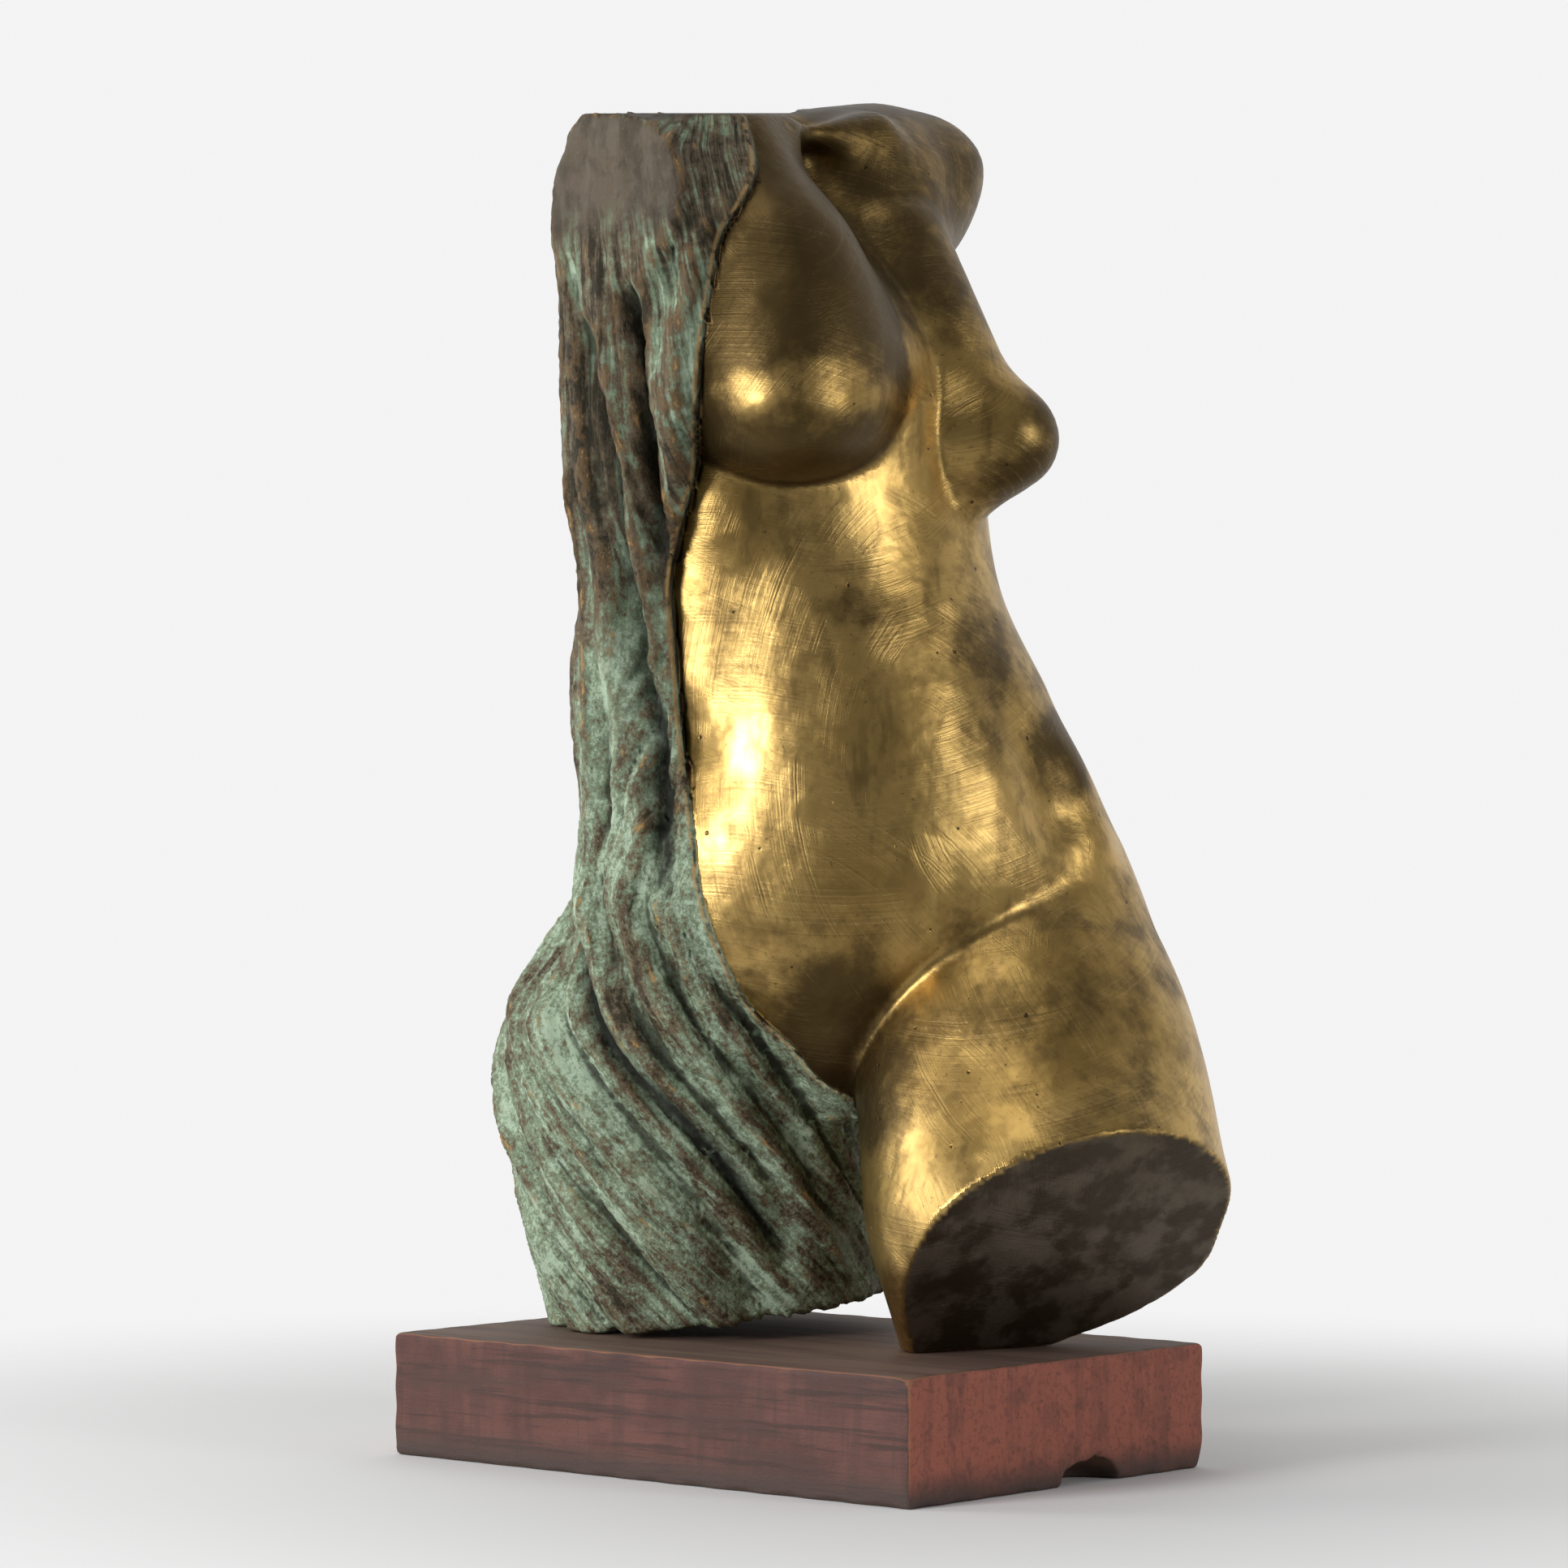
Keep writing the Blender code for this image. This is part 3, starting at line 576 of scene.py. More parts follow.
def stump_marks(points, arm_cut):
    """Height in hands of the marks on the stump's face: a brow line and a few dents."""
    x, _, z = points.T
    brow = np.exp(-((z - 71.0 - 0.5 * np.sin(0.9 * x)) / 0.28) ** 2)
    brow = brow * ramp(x, -13.5, -12.0) * ramp(x, -7.4, -8.6)
    dents = np.sin(1.7 * x + 0.8 * z) * np.sin(1.1 * z - 0.9 * x) + 0.5 * np.sin(3.1 * x - 2.3 * z)
    return arm_cut * (0.20 * brow + 0.13 * dents)


cloth, (thigh_cut, neck_cut, arm_cut), inward = rough_places(points, out)
thigh_gap = loft(*points.T, LEFT_THIGH)
points = points + out * stump_marks(points, arm_cut)[:, None]
tarnish_shade_sheen = tarnish_shade_and_sheen(points, out)
angle = flow_angle(*points.T)
FLOW_RADIUS = 12.0
flow = np.stack((np.sin(angle), np.cos(angle), points[:, 2] / FLOW_RADIUS), axis=1) * FLOW_RADIUS * HAND
relief = cloth * (1 - np.maximum(arm_cut, neck_cut)) * ramp(points[:, 2], 0.1, 1.2) * ramp(inward, 0.0, 0.6)

place = Matrix.Translation(Vector((*FIGURE_OFFSET, PLINTH_TOP + SEAT_GAP)))
place = place @ Matrix.Rotation(FIGURE_TURN, 4, "Z") @ Matrix.Scale(HAND, 4)
bronze_mesh.vertices.foreach_set("co", points.ravel())
bronze_mesh.transform(place)
bronze_mesh.shade_smooth()


def add_attribute(mesh, name, values):
    """Stores one number or one vector for each vertex."""
    vector = values.ndim == 2
    made = mesh.attributes.new(name, "FLOAT_VECTOR" if vector else "FLOAT", "POINT")
    made.data.foreach_set("vector" if vector else "value", values.astype(np.float32).ravel())


for name, values in (("relief", relief), ("flow", flow), ("inward", inward * HAND),
                     ("tarnish_shade_sheen", tarnish_shade_sheen), ("slot_shade", slots(points)), ("thigh_gap", thigh_gap * HAND),
                     ("cut", np.maximum(np.maximum(thigh_cut, neck_cut), arm_cut)), ("stump", arm_cut),
                     ("smooth_out", out @ np.array(place.to_3x3().normalized()).T)):
    add_attribute(bronze_mesh, name, values)
bronze = bpy.data.objects.new("bronze_figure", bronze_mesh)
bpy.context.scene.collection.objects.link(bronze)


class Amount:
    """A number that varies over a surface; arithmetic on it adds Math nodes to its tree."""

    def __init__(self, tree, socket):
        self.tree = tree
        self.socket = socket

    def math(self, operation, *values):
        inputs = {index: value for index, value in enumerate(values)}
        return self.tree.node("ShaderNodeMath", {"operation": operation}, inputs)

    def __add__(self, other):
        return self.math("ADD", self, other)

    def __radd__(self, other):
        return self.math("ADD", other, self)

    def __sub__(self, other):
        return self.math("SUBTRACT", self, other)

    def __rsub__(self, other):
        return self.math("SUBTRACT", other, self)

    def __mul__(self, other):
        return self.math("MULTIPLY", self, other)

    def __rmul__(self, other):
        return self.math("MULTIPLY", other, self)

    def __abs__(self):
        return self.math("ABSOLUTE", self)

    def step(self, start, end):
        """Eased step from 0 at `start` to 1 at `end`."""
        settings = {"interpolation_type": "SMOOTHSTEP"}
        if start < end:
            return self.tree.node("ShaderNodeMapRange", settings, {0: self, 1: start, 2: end})
        return self.tree.node("ShaderNodeMapRange", settings, {0: self, 1: end, 2: start, 3: 1.0, 4: 0.0})


class Workbench:
    """A node tree, with one method that adds any node to it."""

    def __init__(self, tree):
        self.tree = tree

    def node(self, kind, settings=None, inputs=None, out=0):
        made = self.tree.nodes.new(kind)
        for name, value in (settings or {}).items():
            setattr(made, name, value)
        for key, value in (inputs or {}).items():
            if isinstance(value, Amount):
                self.tree.links.new(value.socket, made.inputs[key])
            else:
                made.inputs[key].default_value = value
        return Amount(self, made.outputs[out])

    def attribute(self, name, out=2):
        return self.node("ShaderNodeAttribute", {"attribute_name": name}, out=out)

    def noise(self, at, scale, detail=2.0, roughness=0.5, distortion=0.0):
        inputs = {"Vector": at, "Scale": scale, "Detail": detail, "Roughness": roughness,
                  "Distortion": distortion}
        return self.node("ShaderNodeTexNoise", {"noise_dimensions": "3D"}, inputs)

    def stretched(self, at, factors, offset=(0.0, 0.0, 0.0)):
        inputs = {0: at, 1: factors, 2: offset}
        return self.node("ShaderNodeVectorMath", {"operation": "MULTIPLY_ADD"}, inputs)

    def mix(self, share, under, over):
        """Colour `under` with `over` laid on it by `share`."""
        colours = {0: share, 6: under, 7: over}
        return self.node("ShaderNodeMix", {"data_type": "RGBA", "clamp_factor": True}, colours, out=2)

    def cords(self, at, scale, detail=1.0):
        """Noise like rounded cords with sharp grooves: 0 in the grooves, rising to 1 between them."""
        return (abs(self.noise(at, scale, detail) * 2.0 - 1.0) * 2.6).step(-0.35, 1.0)


# The cloth's own surface: strands and small folds along its hang, with the crust that
# plaster and wax left on it, as real relief on the cast skin.
RELIEF_SIZES = {
    "Strand Depth": 0.0036,
    "Strand Spacing": 0.012,
    "Thread Depth": 0.0022,
    "Thread Spacing": 0.0065,
    "Crust Depth": 0.0030,
    "Crust Size": 0.0075,
}


def relief_tree():
    """Pushes the skin in and out along its own direction, where the relief mask says."""
    group = bpy.data.node_groups.new("cloth surface", "GeometryNodeTree")
    group.interface.new_socket("Geometry", in_out="INPUT", socket_type="NodeSocketGeometry")
    for name in RELIEF_SIZES:
        group.interface.new_socket(name, in_out="INPUT", socket_type="NodeSocketFloat")
    group.interface.new_socket("Finish", in_out="INPUT", socket_type="NodeSocketMaterial")
    group.interface.new_socket("Geometry", in_out="OUTPUT", socket_type="NodeSocketGeometry")
    bench = Workbench(group)
    entry = group.nodes.new("NodeGroupInput")
    size = {name: Amount(bench, entry.outputs[name]) for name in RELIEF_SIZES}

    def stored(name, kind):
        return bench.node("GeometryNodeInputNamedAttribute", {"data_type": kind}, {"Name": name})

    mask = stored("relief", "FLOAT")
    flow_at = stored("flow", "FLOAT_VECTOR")
    place_at = bench.node("GeometryNodeInputPosition")
    long_runs = bench.stretched(flow_at, (1.0, 1.0, 0.09))
    short_runs = bench.stretched(flow_at, (1.0, 1.0, 0.22))

    def over(distance):
        return bench.node("ShaderNodeMath", {"operation": "DIVIDE"}, {0: 1.0, 1: distance})

    strands = bench.cords(long_runs, over(size["Strand Spacing"]), 1.5)
    threads = bench.cords(short_runs, over(size["Thread Spacing"]), 1.0)
    crust = bench.noise(place_at, over(size["Crust Size"]), 3.0, 0.6) - 0.5
    patchy = bench.noise(place_at, 22.0, 1.0).step(0.35, 0.65)
    high = size["Strand Depth"] * (strands - 0.5) + size["Thread Depth"] * (threads - 0.5) * patchy
    high = (high + size["Crust Depth"] * crust) * mask
    along = bench.node("GeometryNodeInputNormal")
    shift = bench.node("ShaderNodeVectorMath", {"operation": "SCALE"}, {0: along, "Scale": high})

    kept = bench.node("GeometryNodeStoreNamedAttribute", {"data_type": "FLOAT", "domain": "POINT"},
                      {"Geometry": Amount(bench, entry.outputs["Geometry"]), "Name": "high", "Value": high})
    moved = bench.node("GeometryNodeSetPosition", {}, {"Geometry": kept, "Offset": shift})
    real = bench.node("GeometryNodeRealizeInstances", {}, {"Geometry": moved})
    finished = bench.node("GeometryNodeSetMaterial", {},
                          {"Geometry": real, "Material": Amount(bench, entry.outputs["Finish"])})
    exit_node = group.nodes.new("NodeGroupOutput")
    group.links.new(finished.socket, exit_node.inputs["Geometry"])
    return group


# The bronze is a golden alloy, brushed bright where hands and files reached it and
# tarnished brown elsewhere; some of that browning is painted shade, and some rubbed-bright
# patches are painted highlights. The gold and the stump are painted darker in their creases
# as shade. On the cloth a green patina fills the hollows, the deepest hollows and the slots
# between the cords are painted near black as shade, and the cut faces were left dark, with a
# painted grey reflection on the low ones.
def bronze_finish():
    """One metal under all: gold, browned gold with painted shade and highlights, green patina on the cloth
    with painted shade in its hollows, dark cut faces with a painted reflection low down.
    """
    material = bpy.data.materials.new("bronze")
    material.use_nodes = True
    material.node_tree.nodes.clear()
    bench = Workbench(material.node_tree)
    place_at = bench.node("ShaderNodeTexCoord", out=3)
    flow_at = bench.attribute("flow", out=1)
    cut_mask = bench.attribute("cut")
    hollow = bench.attribute("hollow")
    wide_hollow = bench.attribute("wide_hollow")
    inward = bench.attribute("inward")
    cloth_mask = inward.step(-0.0014, -0.0006) * bench.attribute("thigh_gap").step(0.0005, 0.0030)

    up = bench.node("ShaderNodeSeparateXYZ", {}, {0: place_at}, out=2)
    clouds = bench.noise(place_at, 9.0, 3.0, 0.55)
    stains = bench.noise(place_at, 34.0, 4.0, 0.6)
    blotches = bench.noise(place_at, 95.0, 4.0, 0.65)
    specks = bench.noise(place_at, 310.0, 2.0, 0.6)
    smears = bench.noise(bench.stretched(place_at, (1.0, 1.0, 0.25)), 60.0, 3.0, 0.6)

    def scouring(centre, offset):
        """Fine curved scratches around a centre, given in the figure's hands, in patches."""
        reach = bench.node("ShaderNodeVectorMath", {"operation": "DISTANCE"},
                           {0: place_at, 1: tuple(place @ Vector(centre))}, out=1)
        lines = bench.node("ShaderNodeTexNoise", {"noise_dimensions": "1D"},
                           {"W": reach + stains * 0.003, "Scale": 520.0, "Detail": 4.0, "Roughness": 0.75})
        patch = bench.noise(bench.stretched(place_at, (1.0, 1.0, 1.0), offset), 19.0, 2.0).step(0.46, 0.58)
        return (lines - 0.5) * patch

    scratches = scouring((-9.0, -20.0, 6.0), (0.0, 0.0, 0.0)) + scouring((26.0, -22.0, 36.0), (3.1, 0.0, 0.0))
    scratches = scratches + scouring((4.0, -24.0, 80.0), (0.0, 5.7, 0.0))

    tarnish_shade_sheen = bench.attribute("tarnish_shade_sheen")
    gold = bench.mix(clouds.step(0.35, 0.62), (0.42, 0.270, 0.083, 1), (0.63, 0.42, 0.145, 1))
    gold = bench.mix(stains.step(0.46, 0.68) * 0.65, gold, (0.25, 0.16, 0.055, 1))
    gold = bench.mix(smears.step(0.54, 0.70) * 0.55, gold, (0.20, 0.13, 0.048, 1))
    # Browning read from the stored mask with noise: real tarnish together with the painted shade and painted
    # highlights laid into that mask.
    brown_shade_sheen_share = (tarnish_shade_sheen + (clouds + stains + blotches * 0.8 - 1.4) * 0.75).step(0.05, 0.85)
    gold = bench.mix(brown_shade_sheen_share * 0.95, gold, (0.088, 0.058, 0.023, 1))
    bright = scratches.step(0.04, 0.30) * (1.0 - brown_shade_sheen_share * 0.7)
    gold = bench.mix(bright * 0.30, gold, (0.80, 0.58, 0.27, 1))
    gold = bench.mix(scratches.step(-0.04, -0.30) * 0.35, gold, (0.16, 0.105, 0.04, 1))
    pit_gaps = bench.node("ShaderNodeTexVoronoi", {"feature": "F1"}, {"Vector": place_at, "Scale": 56.0})
    pits = (pit_gaps - (stains - 0.52) * 0.30).step(0.075, 0.030)
    gold = bench.mix(pits * 0.85, gold, (0.045, 0.028, 0.012, 1))
    gold = bench.mix(specks.step(0.64, 0.74) * 0.5, gold, (0.10, 0.066, 0.03, 1))
    # Painted shade: the gold is darkened in creases where the skin is hollow.
    gold = bench.mix(hollow.step(0.18, 0.70), gold, (0.05, 0.032, 0.014, 1))

    grains = bench.noise(place_at, 330.0, 6.0, 0.82, 0.3)
    streaks = bench.noise(bench.stretched(flow_at, (1.0, 1.0, 0.30)), 240.0, 4.0, 0.7)
    fleck = grains * 0.7 + streaks * 0.3
    runs = bench.noise(bench.stretched(flow_at, (1.0, 1.0, 0.08)), 110.0, 3.0, 0.6)
    lines = bench.noise(bench.stretched(flow_at, (1.0, 1.0, 0.06)), 300.0, 5.0, 0.7, 0.3)
    glints = bench.noise(bench.stretched(flow_at, (1.0, 1.0, 0.30)), 210.0, 4.0, 0.7)
    upper = up.step(0.36, 0.66)
    crest = wide_hollow.step(-0.05, -0.60)
    lean = (clouds - 0.5) * 0.30 + (stains - 0.5) * 0.25 + (blotches - 0.5) * 0.35 + wide_hollow * 0.05
    level = fleck + (lines - fleck) * upper * 0.65 + lean + (runs - 0.5) * 0.45 + 0.038 - upper * 0.095
    patina = bench.mix(level.step(0.34, 0.45), (0.036, 0.030, 0.015, 1), (0.160, 0.120, 0.074, 1))
    patina = bench.mix(level.step(0.455, 0.515), patina, (0.225, 0.295, 0.190, 1))
    patina = bench.mix(level.step(0.53, 0.64), patina, (0.49, 0.62, 0.455, 1))
    bronze_crest = crest * (upper * 0.5 + 0.25) * glints.step(0.44, 0.56)
    patina = bench.mix(bronze_crest, patina, (0.20, 0.125, 0.055, 1))
    gilt = crest * glints.step(0.60, 0.68)
    patina = bench.mix(gilt * 0.8, patina, (0.60, 0.36, 0.13, 1))
    # Painted shade: the cloth's deepest hollows, its creases and the slots between its cords are painted near
    # black.
    patina = bench.mix(wide_hollow.step(0.25, 0.85) * 0.80, patina, (0.028, 0.032, 0.015, 1))
    patina = bench.mix(hollow.step(0.30, 0.9) * 0.7, patina, (0.026, 0.024, 0.012, 1))
    patina = bench.mix(bench.attribute("slot_shade") * 0.95, patina, (0.010, 0.010, 0.006, 1))
    lip = inward.step(0.0004, 0.0012) * inward.step(0.0042, 0.0022) * blotches.step(0.38, 0.50)
    patina = bench.mix(lip * 0.75, patina, (0.48, 0.31, 0.12, 1))
    dark = bench.mix(stains.step(0.45, 0.7), (0.06, 0.043, 0.024, 1), (0.13, 0.095, 0.05, 1))
    # Painted reflection: the low cut faces are lightened towards grey.
    low_face_sheen = up.step(0.26, 0.13)
    dark = bench.mix(low_face_sheen * stains.step(0.42, 0.60) * 0.7, dark, (0.16, 0.135, 0.105, 1))
    bare = bench.mix(stains.step(0.40, 0.62), (0.070, 0.052, 0.032, 1), (0.140, 0.108, 0.072, 1))
    bare = bench.mix(smears.step(0.50, 0.64) * 0.5, bare, (0.20, 0.165, 0.12, 1))
    # Painted shade: the stump's hollows are darkened.
    bare = bench.mix(hollow.step(0.10, 0.50) * 0.4, bare, (0.035, 0.028, 0.016, 1))
    bare = bench.mix(grains.step(0.56, 0.66) * 0.4, bare, (0.19, 0.22, 0.16, 1))
    dark = bench.mix(bench.attribute("stump"), dark, bare)

    colour = bench.mix(cloth_mask, gold, patina)
    colour = bench.mix(cut_mask, colour, dark)
    green = level.step(0.44, 0.54)
    metallic = 1.0 - cloth_mask * (0.55 + green * 0.40) * (1.0 - gilt * 0.6) - cut_mask * 0.25
    roughness = 0.29 + stains * 0.12 + brown_shade_sheen_share * 0.08 - scratches * 0.10
    roughness = roughness + cloth_mask * (0.10 + green * 0.28) + cut_mask * 0.02

    waves = bench.noise(place_at, 42.0, 2.0, 0.5)
    dents = bench.noise(place_at, 150.0, 2.0, 0.5)
    grit = bench.noise(place_at, 420.0, 3.0, 0.7)
    height = waves * 0.0012 + dents * 0.00012 + scratches * 0.00026 - pits * 0.0003
    height = height * (1.0 - cloth_mask) + fleck * cloth_mask * 0.0014
    height = height + grit * (0.00004 + cloth_mask * 0.0007)
    bump = bench.node("ShaderNodeBump", {}, {"Strength": 1.0, "Distance": 1.0, "Height": height})
    shader = bench.node("ShaderNodeBsdfPrincipled", {}, {
        "Base Color": colour, "Metallic": metallic, "Roughness": roughness, "Normal": bump})
    end = material.node_tree.nodes.new("ShaderNodeOutputMaterial")
    material.node_tree.links.new(shader.socket, end.inputs["Surface"])
    return material


def set_inputs(modifier, values):
    """Sets a Geometry Nodes modifier's named inputs."""
    for item in modifier.node_group.interface.items_tree:
        if item.in_out == "INPUT" and item.name in values:
            modifier[item.identifier] = values[item.name]


def plain_mesh(piece):
    """Turns a piece's modifiers into its mesh."""
    graph = bpy.context.evaluated_depsgraph_get()
    mesh = bpy.data.meshes.new_from_object(piece.evaluated_get(graph))
    piece.modifiers.clear()
    old = piece.data
    piece.data = mesh
    bpy.data.meshes.remove(old)
    mesh.name = piece.name


surface = bronze.modifiers.new("cloth surface", "NODES")
surface.node_group = relief_tree()
set_inputs(surface, {**RELIEF_SIZES, "Finish": bronze_finish()})
plain_mesh(bronze)


DEEPEST_HOLLOW = 0.003
NARROW_ROUNDS = 1
WIDE_ROUNDS = 12


def store_hollows(mesh, narrow_rounds, wide_rounds):
    """Stores how hollow the skin is at each vertex: 0 flat, above 0 hollow, closely and widely read."""
    points, edges = mesh_arrays(mesh)
    count = len(points)
    normals = np.empty(count * 3)
    mesh.vertices.foreach_get("normal", normals)
    normals = normals.reshape(-1, 3)
    lengths = np.linalg.norm(points[edges[:, 0]] - points[edges[:, 1]], axis=1)
    size = np.bincount(edges.ravel(), weights=np.repeat(lengths, 2), minlength=count)
    size /= np.maximum(np.bincount(edges.ravel(), minlength=count), 1)
    hollow = ((neighbour_mean(points, edges, count) - points) * normals).sum(1) / size
    for _ in range(narrow_rounds):
        hollow = 0.5 * hollow + 0.5 * neighbour_mean(hollow, edges, count)[:, 0]
    add_attribute(mesh, "hollow", hollow * 3.0)
    smooth = points
    for _ in range(wide_rounds):
        smooth = neighbour_mean(smooth, edges, count)
    wide = ((smooth - points) * normals).sum(1)
    add_attribute(mesh, "wide_hollow", np.clip(wide / DEEPEST_HOLLOW, -1.0, 1.0))


store_hollows(bronze.data, NARROW_ROUNDS, WIDE_ROUNDS)
count = len(bronze.data.vertices)
smooth_out = np.empty(count * 3, dtype=np.float32)
bronze.data.attributes["smooth_out"].data.foreach_get("vector", smooth_out)
rough_out = np.empty(count * 3, dtype=np.float32)
bronze.data.vertices.foreach_get("normal", rough_out)
mask = np.empty(count, dtype=np.float32)
bronze.data.attributes["relief"].data.foreach_get("value", mask)
share = np.clip(mask * 4, 0, 1)[:, None]
blended = smooth_out.reshape(-1, 3) * (1 - share) + rough_out.reshape(-1, 3) * share
blended /= np.linalg.norm(blended, axis=1, keepdims=True)
bronze.data.normals_split_custom_set_from_vertices(blended.tolist())
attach(bronze, "root")
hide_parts("bronze_torso")
print("bronze figure:", sum(len(p.vertices) - 2 for p in bronze.data.polygons), "triangles")


# The plinth is one thick timber plank, painted a dark red-brown long ago. Its edges
# are worn bare, one top corner is knocked off and the short end's foot is bitten out.
PLINTH_LENGTH = 0.420
PLINTH_DEPTH = 0.280
WORN_CORNER = 0.007
NOTCH_WIDTH = 0.056
NOTCH_HEIGHT = 0.015
NOTCH_DEPTH = 0.030
NOTCH_FROM_CORNER = 0.111
TIMBER_STEP = 0.0022
TIMBER_SHARE_KEPT = 0.4
SPARE_MM = 6.0


def timber(x, y, z):
    """Distance to the plank's surface in metres, below nought inside."""
    ends = np.abs(y) - PLINTH_LENGTH / 2
    sides = np.abs(x) - PLINTH_DEPTH / 2
    faces = np.abs(z - PLINTH_TOP / 2) - PLINTH_TOP / 2
    wear = 0.0028 + 0.0012 * np.sin(61 * x + 83 * y) * np.sin(97 * y - 31 * z + 1.0)
    wear = wear + 0.0010 * np.sin(210 * x + 170 * y + 260 * z)
    block = trim(trim(sides, ends, wear), faces, wear)
    corner = (-PLINTH_DEPTH / 2, -PLINTH_LENGTH / 2, PLINTH_TOP)
    depth = WORN_CORNER / math.sqrt(3)
    lost = half_space(x, y, z, corner, (-1.0, -1.0, 1.0)) + depth
    block = trim(block, lost, 0.006)
    low_corner = (PLINTH_DEPTH / 2, -PLINTH_LENGTH / 2, 0.0)
    lost = half_space(x, y, z, low_corner, (1.0, -0.7, -0.45)) + 0.0045
    block = trim(block, lost, 0.003)
    centre = (PLINTH_DEPTH / 2 - NOTCH_FROM_CORNER, -PLINTH_LENGTH / 2, 0.0)
    bite = ball(x, y, z, centre, (NOTCH_WIDTH / 2, NOTCH_DEPTH, NOTCH_HEIGHT))
    bite = bite - 0.0010 * np.sin(190 * x + 40 * z) - 0.0006 * np.sin(420 * x + 300 * y)
    return trim(block, -bite, 0.002)


def timber_far(x, y, z):
    """The plank's distance in millimetres, so that the shared tools work to one scale."""
    return timber(x / 1000, y / 1000, z / 1000) * 1000


half = (1000 * PLINTH_DEPTH / 2 + SPARE_MM, 1000 * PLINTH_LENGTH / 2 + SPARE_MM)
low = (-half[0], -half[1], -SPARE_MM)
high = (half[0], half[1], 1000 * PLINTH_TOP + SPARE_MM)
points, quads = skin(timber_far, low, high, 1000 * TIMBER_STEP)
plank_mesh = bpy.data.meshes.new("painted_plank")
plank_mesh.from_pydata((points / 1000).tolist(), [], quads.tolist())
plank_mesh.shade_smooth()
plank = bpy.data.objects.new("painted_plank", plank_mesh)
bpy.context.scene.collection.objects.link(plank)
slim = plank.modifiers.new("fewer faces", "DECIMATE")
slim.ratio = TIMBER_SHARE_KEPT
plain_mesh(plank)
points, edges = mesh_arrays(plank.data)
points, out = settle(timber_far, points * 1000, 0.3, 3)
plank.data.vertices.foreach_set("co", (points / 1000).ravel())
plank.data.normals_split_custom_set_from_vertices(out.tolist())
steep = np.sort(np.abs(out), axis=1)[:, 2]
add_attribute(plank.data, "edge", ramp(steep, 0.995, 0.85))


def timber_finish():
    """Dark red-brown paint, thin along the grain and gone at the edges, over ochre wood."""
    material = bpy.data.materials.new("painted_timber")
    material.use_nodes = True
    material.node_tree.nodes.clear()
    bench = Workbench(material.node_tree)
    place_at = bench.node("ShaderNodeTexCoord", out=3)
    edge = bench.attribute("edge")
    split = bench.node("ShaderNodeSeparateXYZ", {}, {0: place_at})
    up = Amount(bench, split.socket.node.outputs["Z"])
    facing = bench.node("ShaderNodeNewGeometry", out=1)
    turned = bench.node("ShaderNodeSeparateXYZ", {}, {0: facing})
    top = Amount(bench, turned.socket.node.outputs["Z"]).step(0.7, 0.95)
    end_grain = abs(Amount(bench, turned.socket.node.outputs["Y"])).step(0.6, 0.9)

    grain = bench.noise(bench.stretched(place_at, (1.0, 0.05, 1.0)), 260.0, 4.0, 0.6)
    broad = bench.noise(bench.stretched(place_at, (1.0, 0.12, 1.0)), 45.0, 3.0, 0.6)
    blotch = bench.noise(place_at, 26.0, 4.0, 0.6)
    strokes = bench.noise(bench.stretched(place_at, (1.0, 1.0, 0.10)), 120.0, 3.0, 0.6)
    red = bench.mix(blotch.step(0.35, 0.65), (0.085, 0.030, 0.023, 1), (0.135, 0.049, 0.036, 1))
    red = bench.mix(end_grain, red, (0.34, 0.098, 0.060, 1))
    red = bench.mix(strokes.step(0.48, 0.62) * (0.5 - end_grain * 0.25), red, (0.070, 0.030, 0.023, 1))
    red = bench.mix(broad.step(0.50, 0.62) * (0.6 - end_grain * 0.3), red, (0.065, 0.031, 0.024, 1))
    red = bench.mix(grain.step(0.52, 0.62) * (0.7 - end_grain * 0.4), red, (0.045, 0.023, 0.018, 1))
    brown = bench.mix(broad.step(0.38, 0.62), (0.10, 0.058, 0.042, 1), (0.165, 0.103, 0.074, 1))
    colour = bench.mix(top * 0.85, red, brown)
    flecks = bench.noise(place_at, 520.0, 2.0, 0.6).step(0.58, 0.68)
    colour = bench.mix(flecks * end_grain * 0.4, colour, (0.08, 0.033, 0.024, 1))
    worn = (edge * 0.9 + blotch * 0.6 - 0.3).step(0.45, 0.85)
    colour = bench.mix(worn * 0.75, colour, (0.30, 0.13, 0.065, 1))
    foot = up.step(0.024, 0.002) * (0.6 + blotch * 0.6)
    colour = bench.mix(foot, colour, (0.055, 0.034, 0.027, 1))
    roughness = 0.62 + grain * 0.15
    height = grain * 0.0004 + broad * 0.0008 + bench.noise(place_at, 500.0, 2.0, 0.6) * 0.0003
    bump = bench.node("ShaderNodeBump", {}, {"Strength": 1.0, "Distance": 1.0, "Height": height})
    shader = bench.node("ShaderNodeBsdfPrincipled", {}, {
        "Base Color": colour, "Roughness": roughness, "Normal": bump})
    end = material.node_tree.nodes.new("ShaderNodeOutputMaterial")
    material.node_tree.links.new(shader.socket, end.inputs["Surface"])
    return material


plank.data.materials.clear()
plank.data.materials.append(timber_finish())
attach(plank, "root")
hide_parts("wooden_plinth")
print("plank:", sum(len(p.vertices) - 2 for p in plank.data.polygons), "triangles")


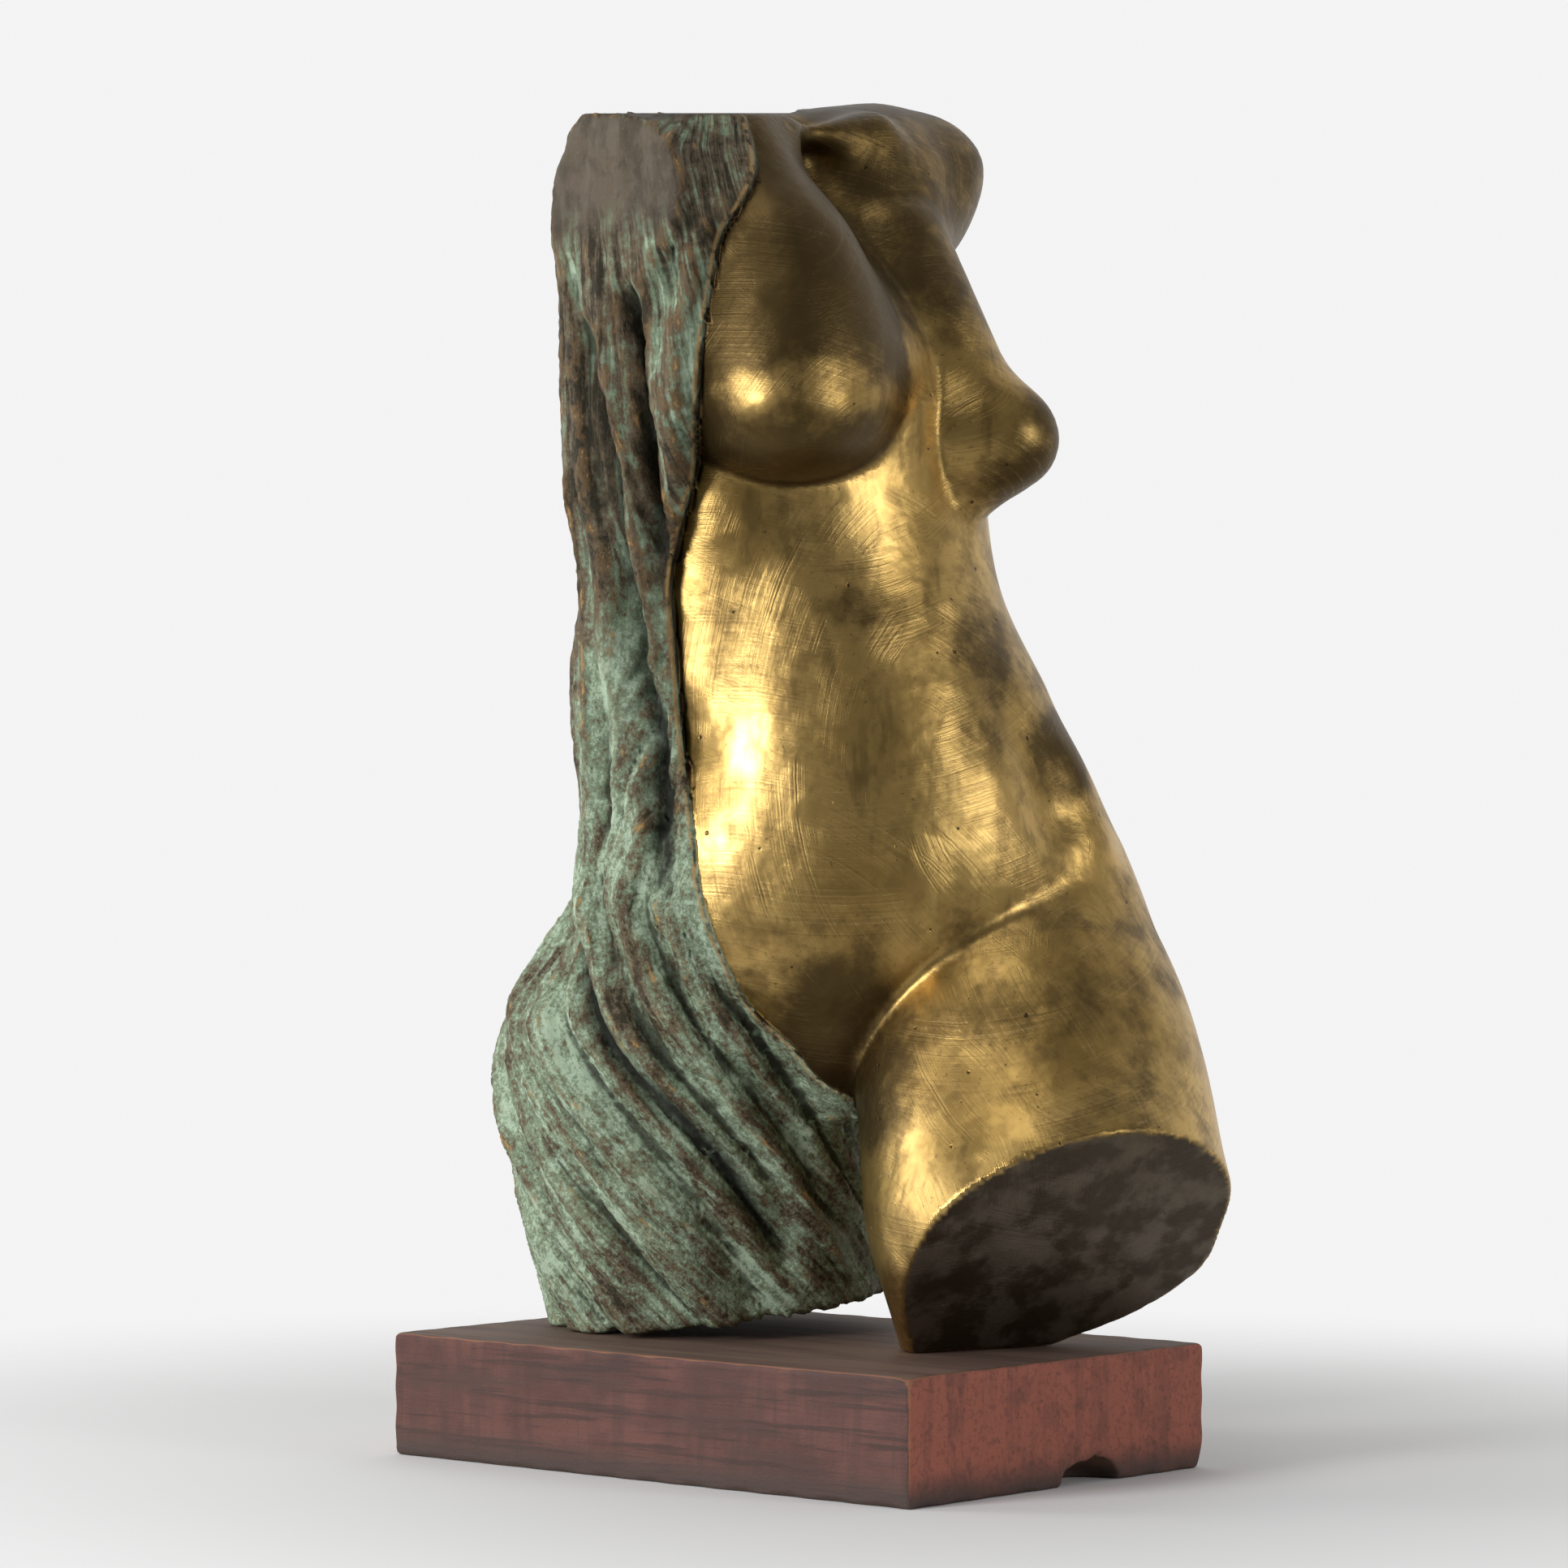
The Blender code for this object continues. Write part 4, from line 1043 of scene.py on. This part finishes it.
# Floor and light: a pale floor that fades out into a pale surround, and broad lamps to
# the left and right of the view, beside the cloth and overhead.
FLOOR_RADIUS = 3.0
FLOOR_GREY = (0.8, 0.8, 0.8, 1)
WALL_GREY = (0.90, 0.90, 0.90, 1)
FRONT_GREY = (0.17, 0.17, 0.17, 1)
REAR_GREY = (0.80, 0.80, 0.80, 1)
floor_mesh = bpy.data.meshes.new("floor")
sketch = bmesh.new()
bmesh.ops.create_circle(sketch, cap_ends=True, segments=96, radius=FLOOR_RADIUS)
sketch.to_mesh(floor_mesh)
sketch.free()
floor = bpy.data.objects.new("floor", floor_mesh)
bpy.context.scene.collection.objects.link(floor)


def floor_finish():
    """Matt white, fading out before the rim."""
    material = bpy.data.materials.new("floor")
    material.use_nodes = True
    material.node_tree.nodes.clear()
    bench = Workbench(material.node_tree)
    place_at = bench.node("ShaderNodeTexCoord", out=3)
    reach = bench.node("ShaderNodeVectorMath", {"operation": "LENGTH"}, {0: place_at}, out=1)
    shader = bench.node("ShaderNodeBsdfPrincipled", {}, {
        "Base Color": FLOOR_GREY, "Roughness": 0.8, "Alpha": reach.step(1.1, 0.35)})
    end = material.node_tree.nodes.new("ShaderNodeOutputMaterial")
    material.node_tree.links.new(shader.socket, end.inputs["Surface"])
    return material


floor_mesh.materials.append(floor_finish())

world = bpy.data.worlds.new("studio")
bpy.context.scene.world = world
world.use_nodes = True
world.node_tree.nodes.clear()
air = Workbench(world.node_tree)
seen = air.node("ShaderNodeLightPath", out=0)
direction = air.node("ShaderNodeTexCoord", out=0)
towards_view = (math.sin(FIGURE_TURN), -math.cos(FIGURE_TURN), 0.0)
ahead = air.node("ShaderNodeVectorMath", {"operation": "DOT_PRODUCT"}, {0: direction, 1: towards_view}, out=1)
around = air.mix(ahead.step(0.35, -0.75), FRONT_GREY, REAR_GREY)
backdrop = air.mix(seen, around, WALL_GREY)
glow = air.node("ShaderNodeBackground", {}, {"Color": backdrop, "Strength": 1.0})
sky = world.node_tree.nodes.new("ShaderNodeOutputWorld")
world.node_tree.links.new(glow.socket, sky.inputs["Surface"])

VIEW_DISTANCE = 3.4
VIEW_HEIGHT = PLINTH_TOP + 0.325

# Each lamp's name, bearing from the view in degrees, height, distance, power, width and
# height of its face.
LAMPS = (
    ("left", -50, 0.80, 2.3, 35, 0.6, 0.8),
    ("side", -98, 0.90, 2.2, 14, 0.8, 1.4),
    ("right", 58, 0.85, 2.6, 15, 0.5, 0.9),
    ("top", -30, 2.6, 0.8, 8, 1.0, 1.0),
)
to_view = Matrix.Translation(Vector((*FIGURE_OFFSET, 0))) @ Matrix.Rotation(FIGURE_TURN, 4, "Z")
aim = to_view @ Vector((0, 0, VIEW_HEIGHT))
for side, bearing, lamp_height, distance, power, wide, tall in LAMPS:
    lamp_data = bpy.data.lights.new(side + " lamp", "AREA")
    lamp_data.shape = "RECTANGLE"
    lamp_data.size = wide
    lamp_data.size_y = tall
    lamp_data.energy = power
    lamp = bpy.data.objects.new(side + " lamp", lamp_data)
    bpy.context.scene.collection.objects.link(lamp)
    turn = math.radians(bearing)
    lamp.location = to_view @ Vector((distance * math.sin(turn), -distance * math.cos(turn), lamp_height))
    lamp.rotation_euler = (aim - lamp.location).to_track_quat("-Z", "Y").to_euler()

LENS = 126.7
SENSOR = 36.0
VIEW_RISE = 34 / 1932
camera_data = bpy.data.cameras.new("camera")
camera_data.sensor_width = SENSOR
camera_data.lens = LENS
camera_data.shift_y = VIEW_RISE
camera = bpy.data.objects.new("camera", camera_data)
bpy.context.scene.collection.objects.link(camera)
camera.location = to_view @ Vector((0, -VIEW_DISTANCE, VIEW_HEIGHT))
camera.rotation_euler = (aim - camera.location).to_track_quat("-Z", "Y").to_euler()
bpy.context.scene.camera = camera
bpy.context.scene.view_settings.view_transform = "Standard"
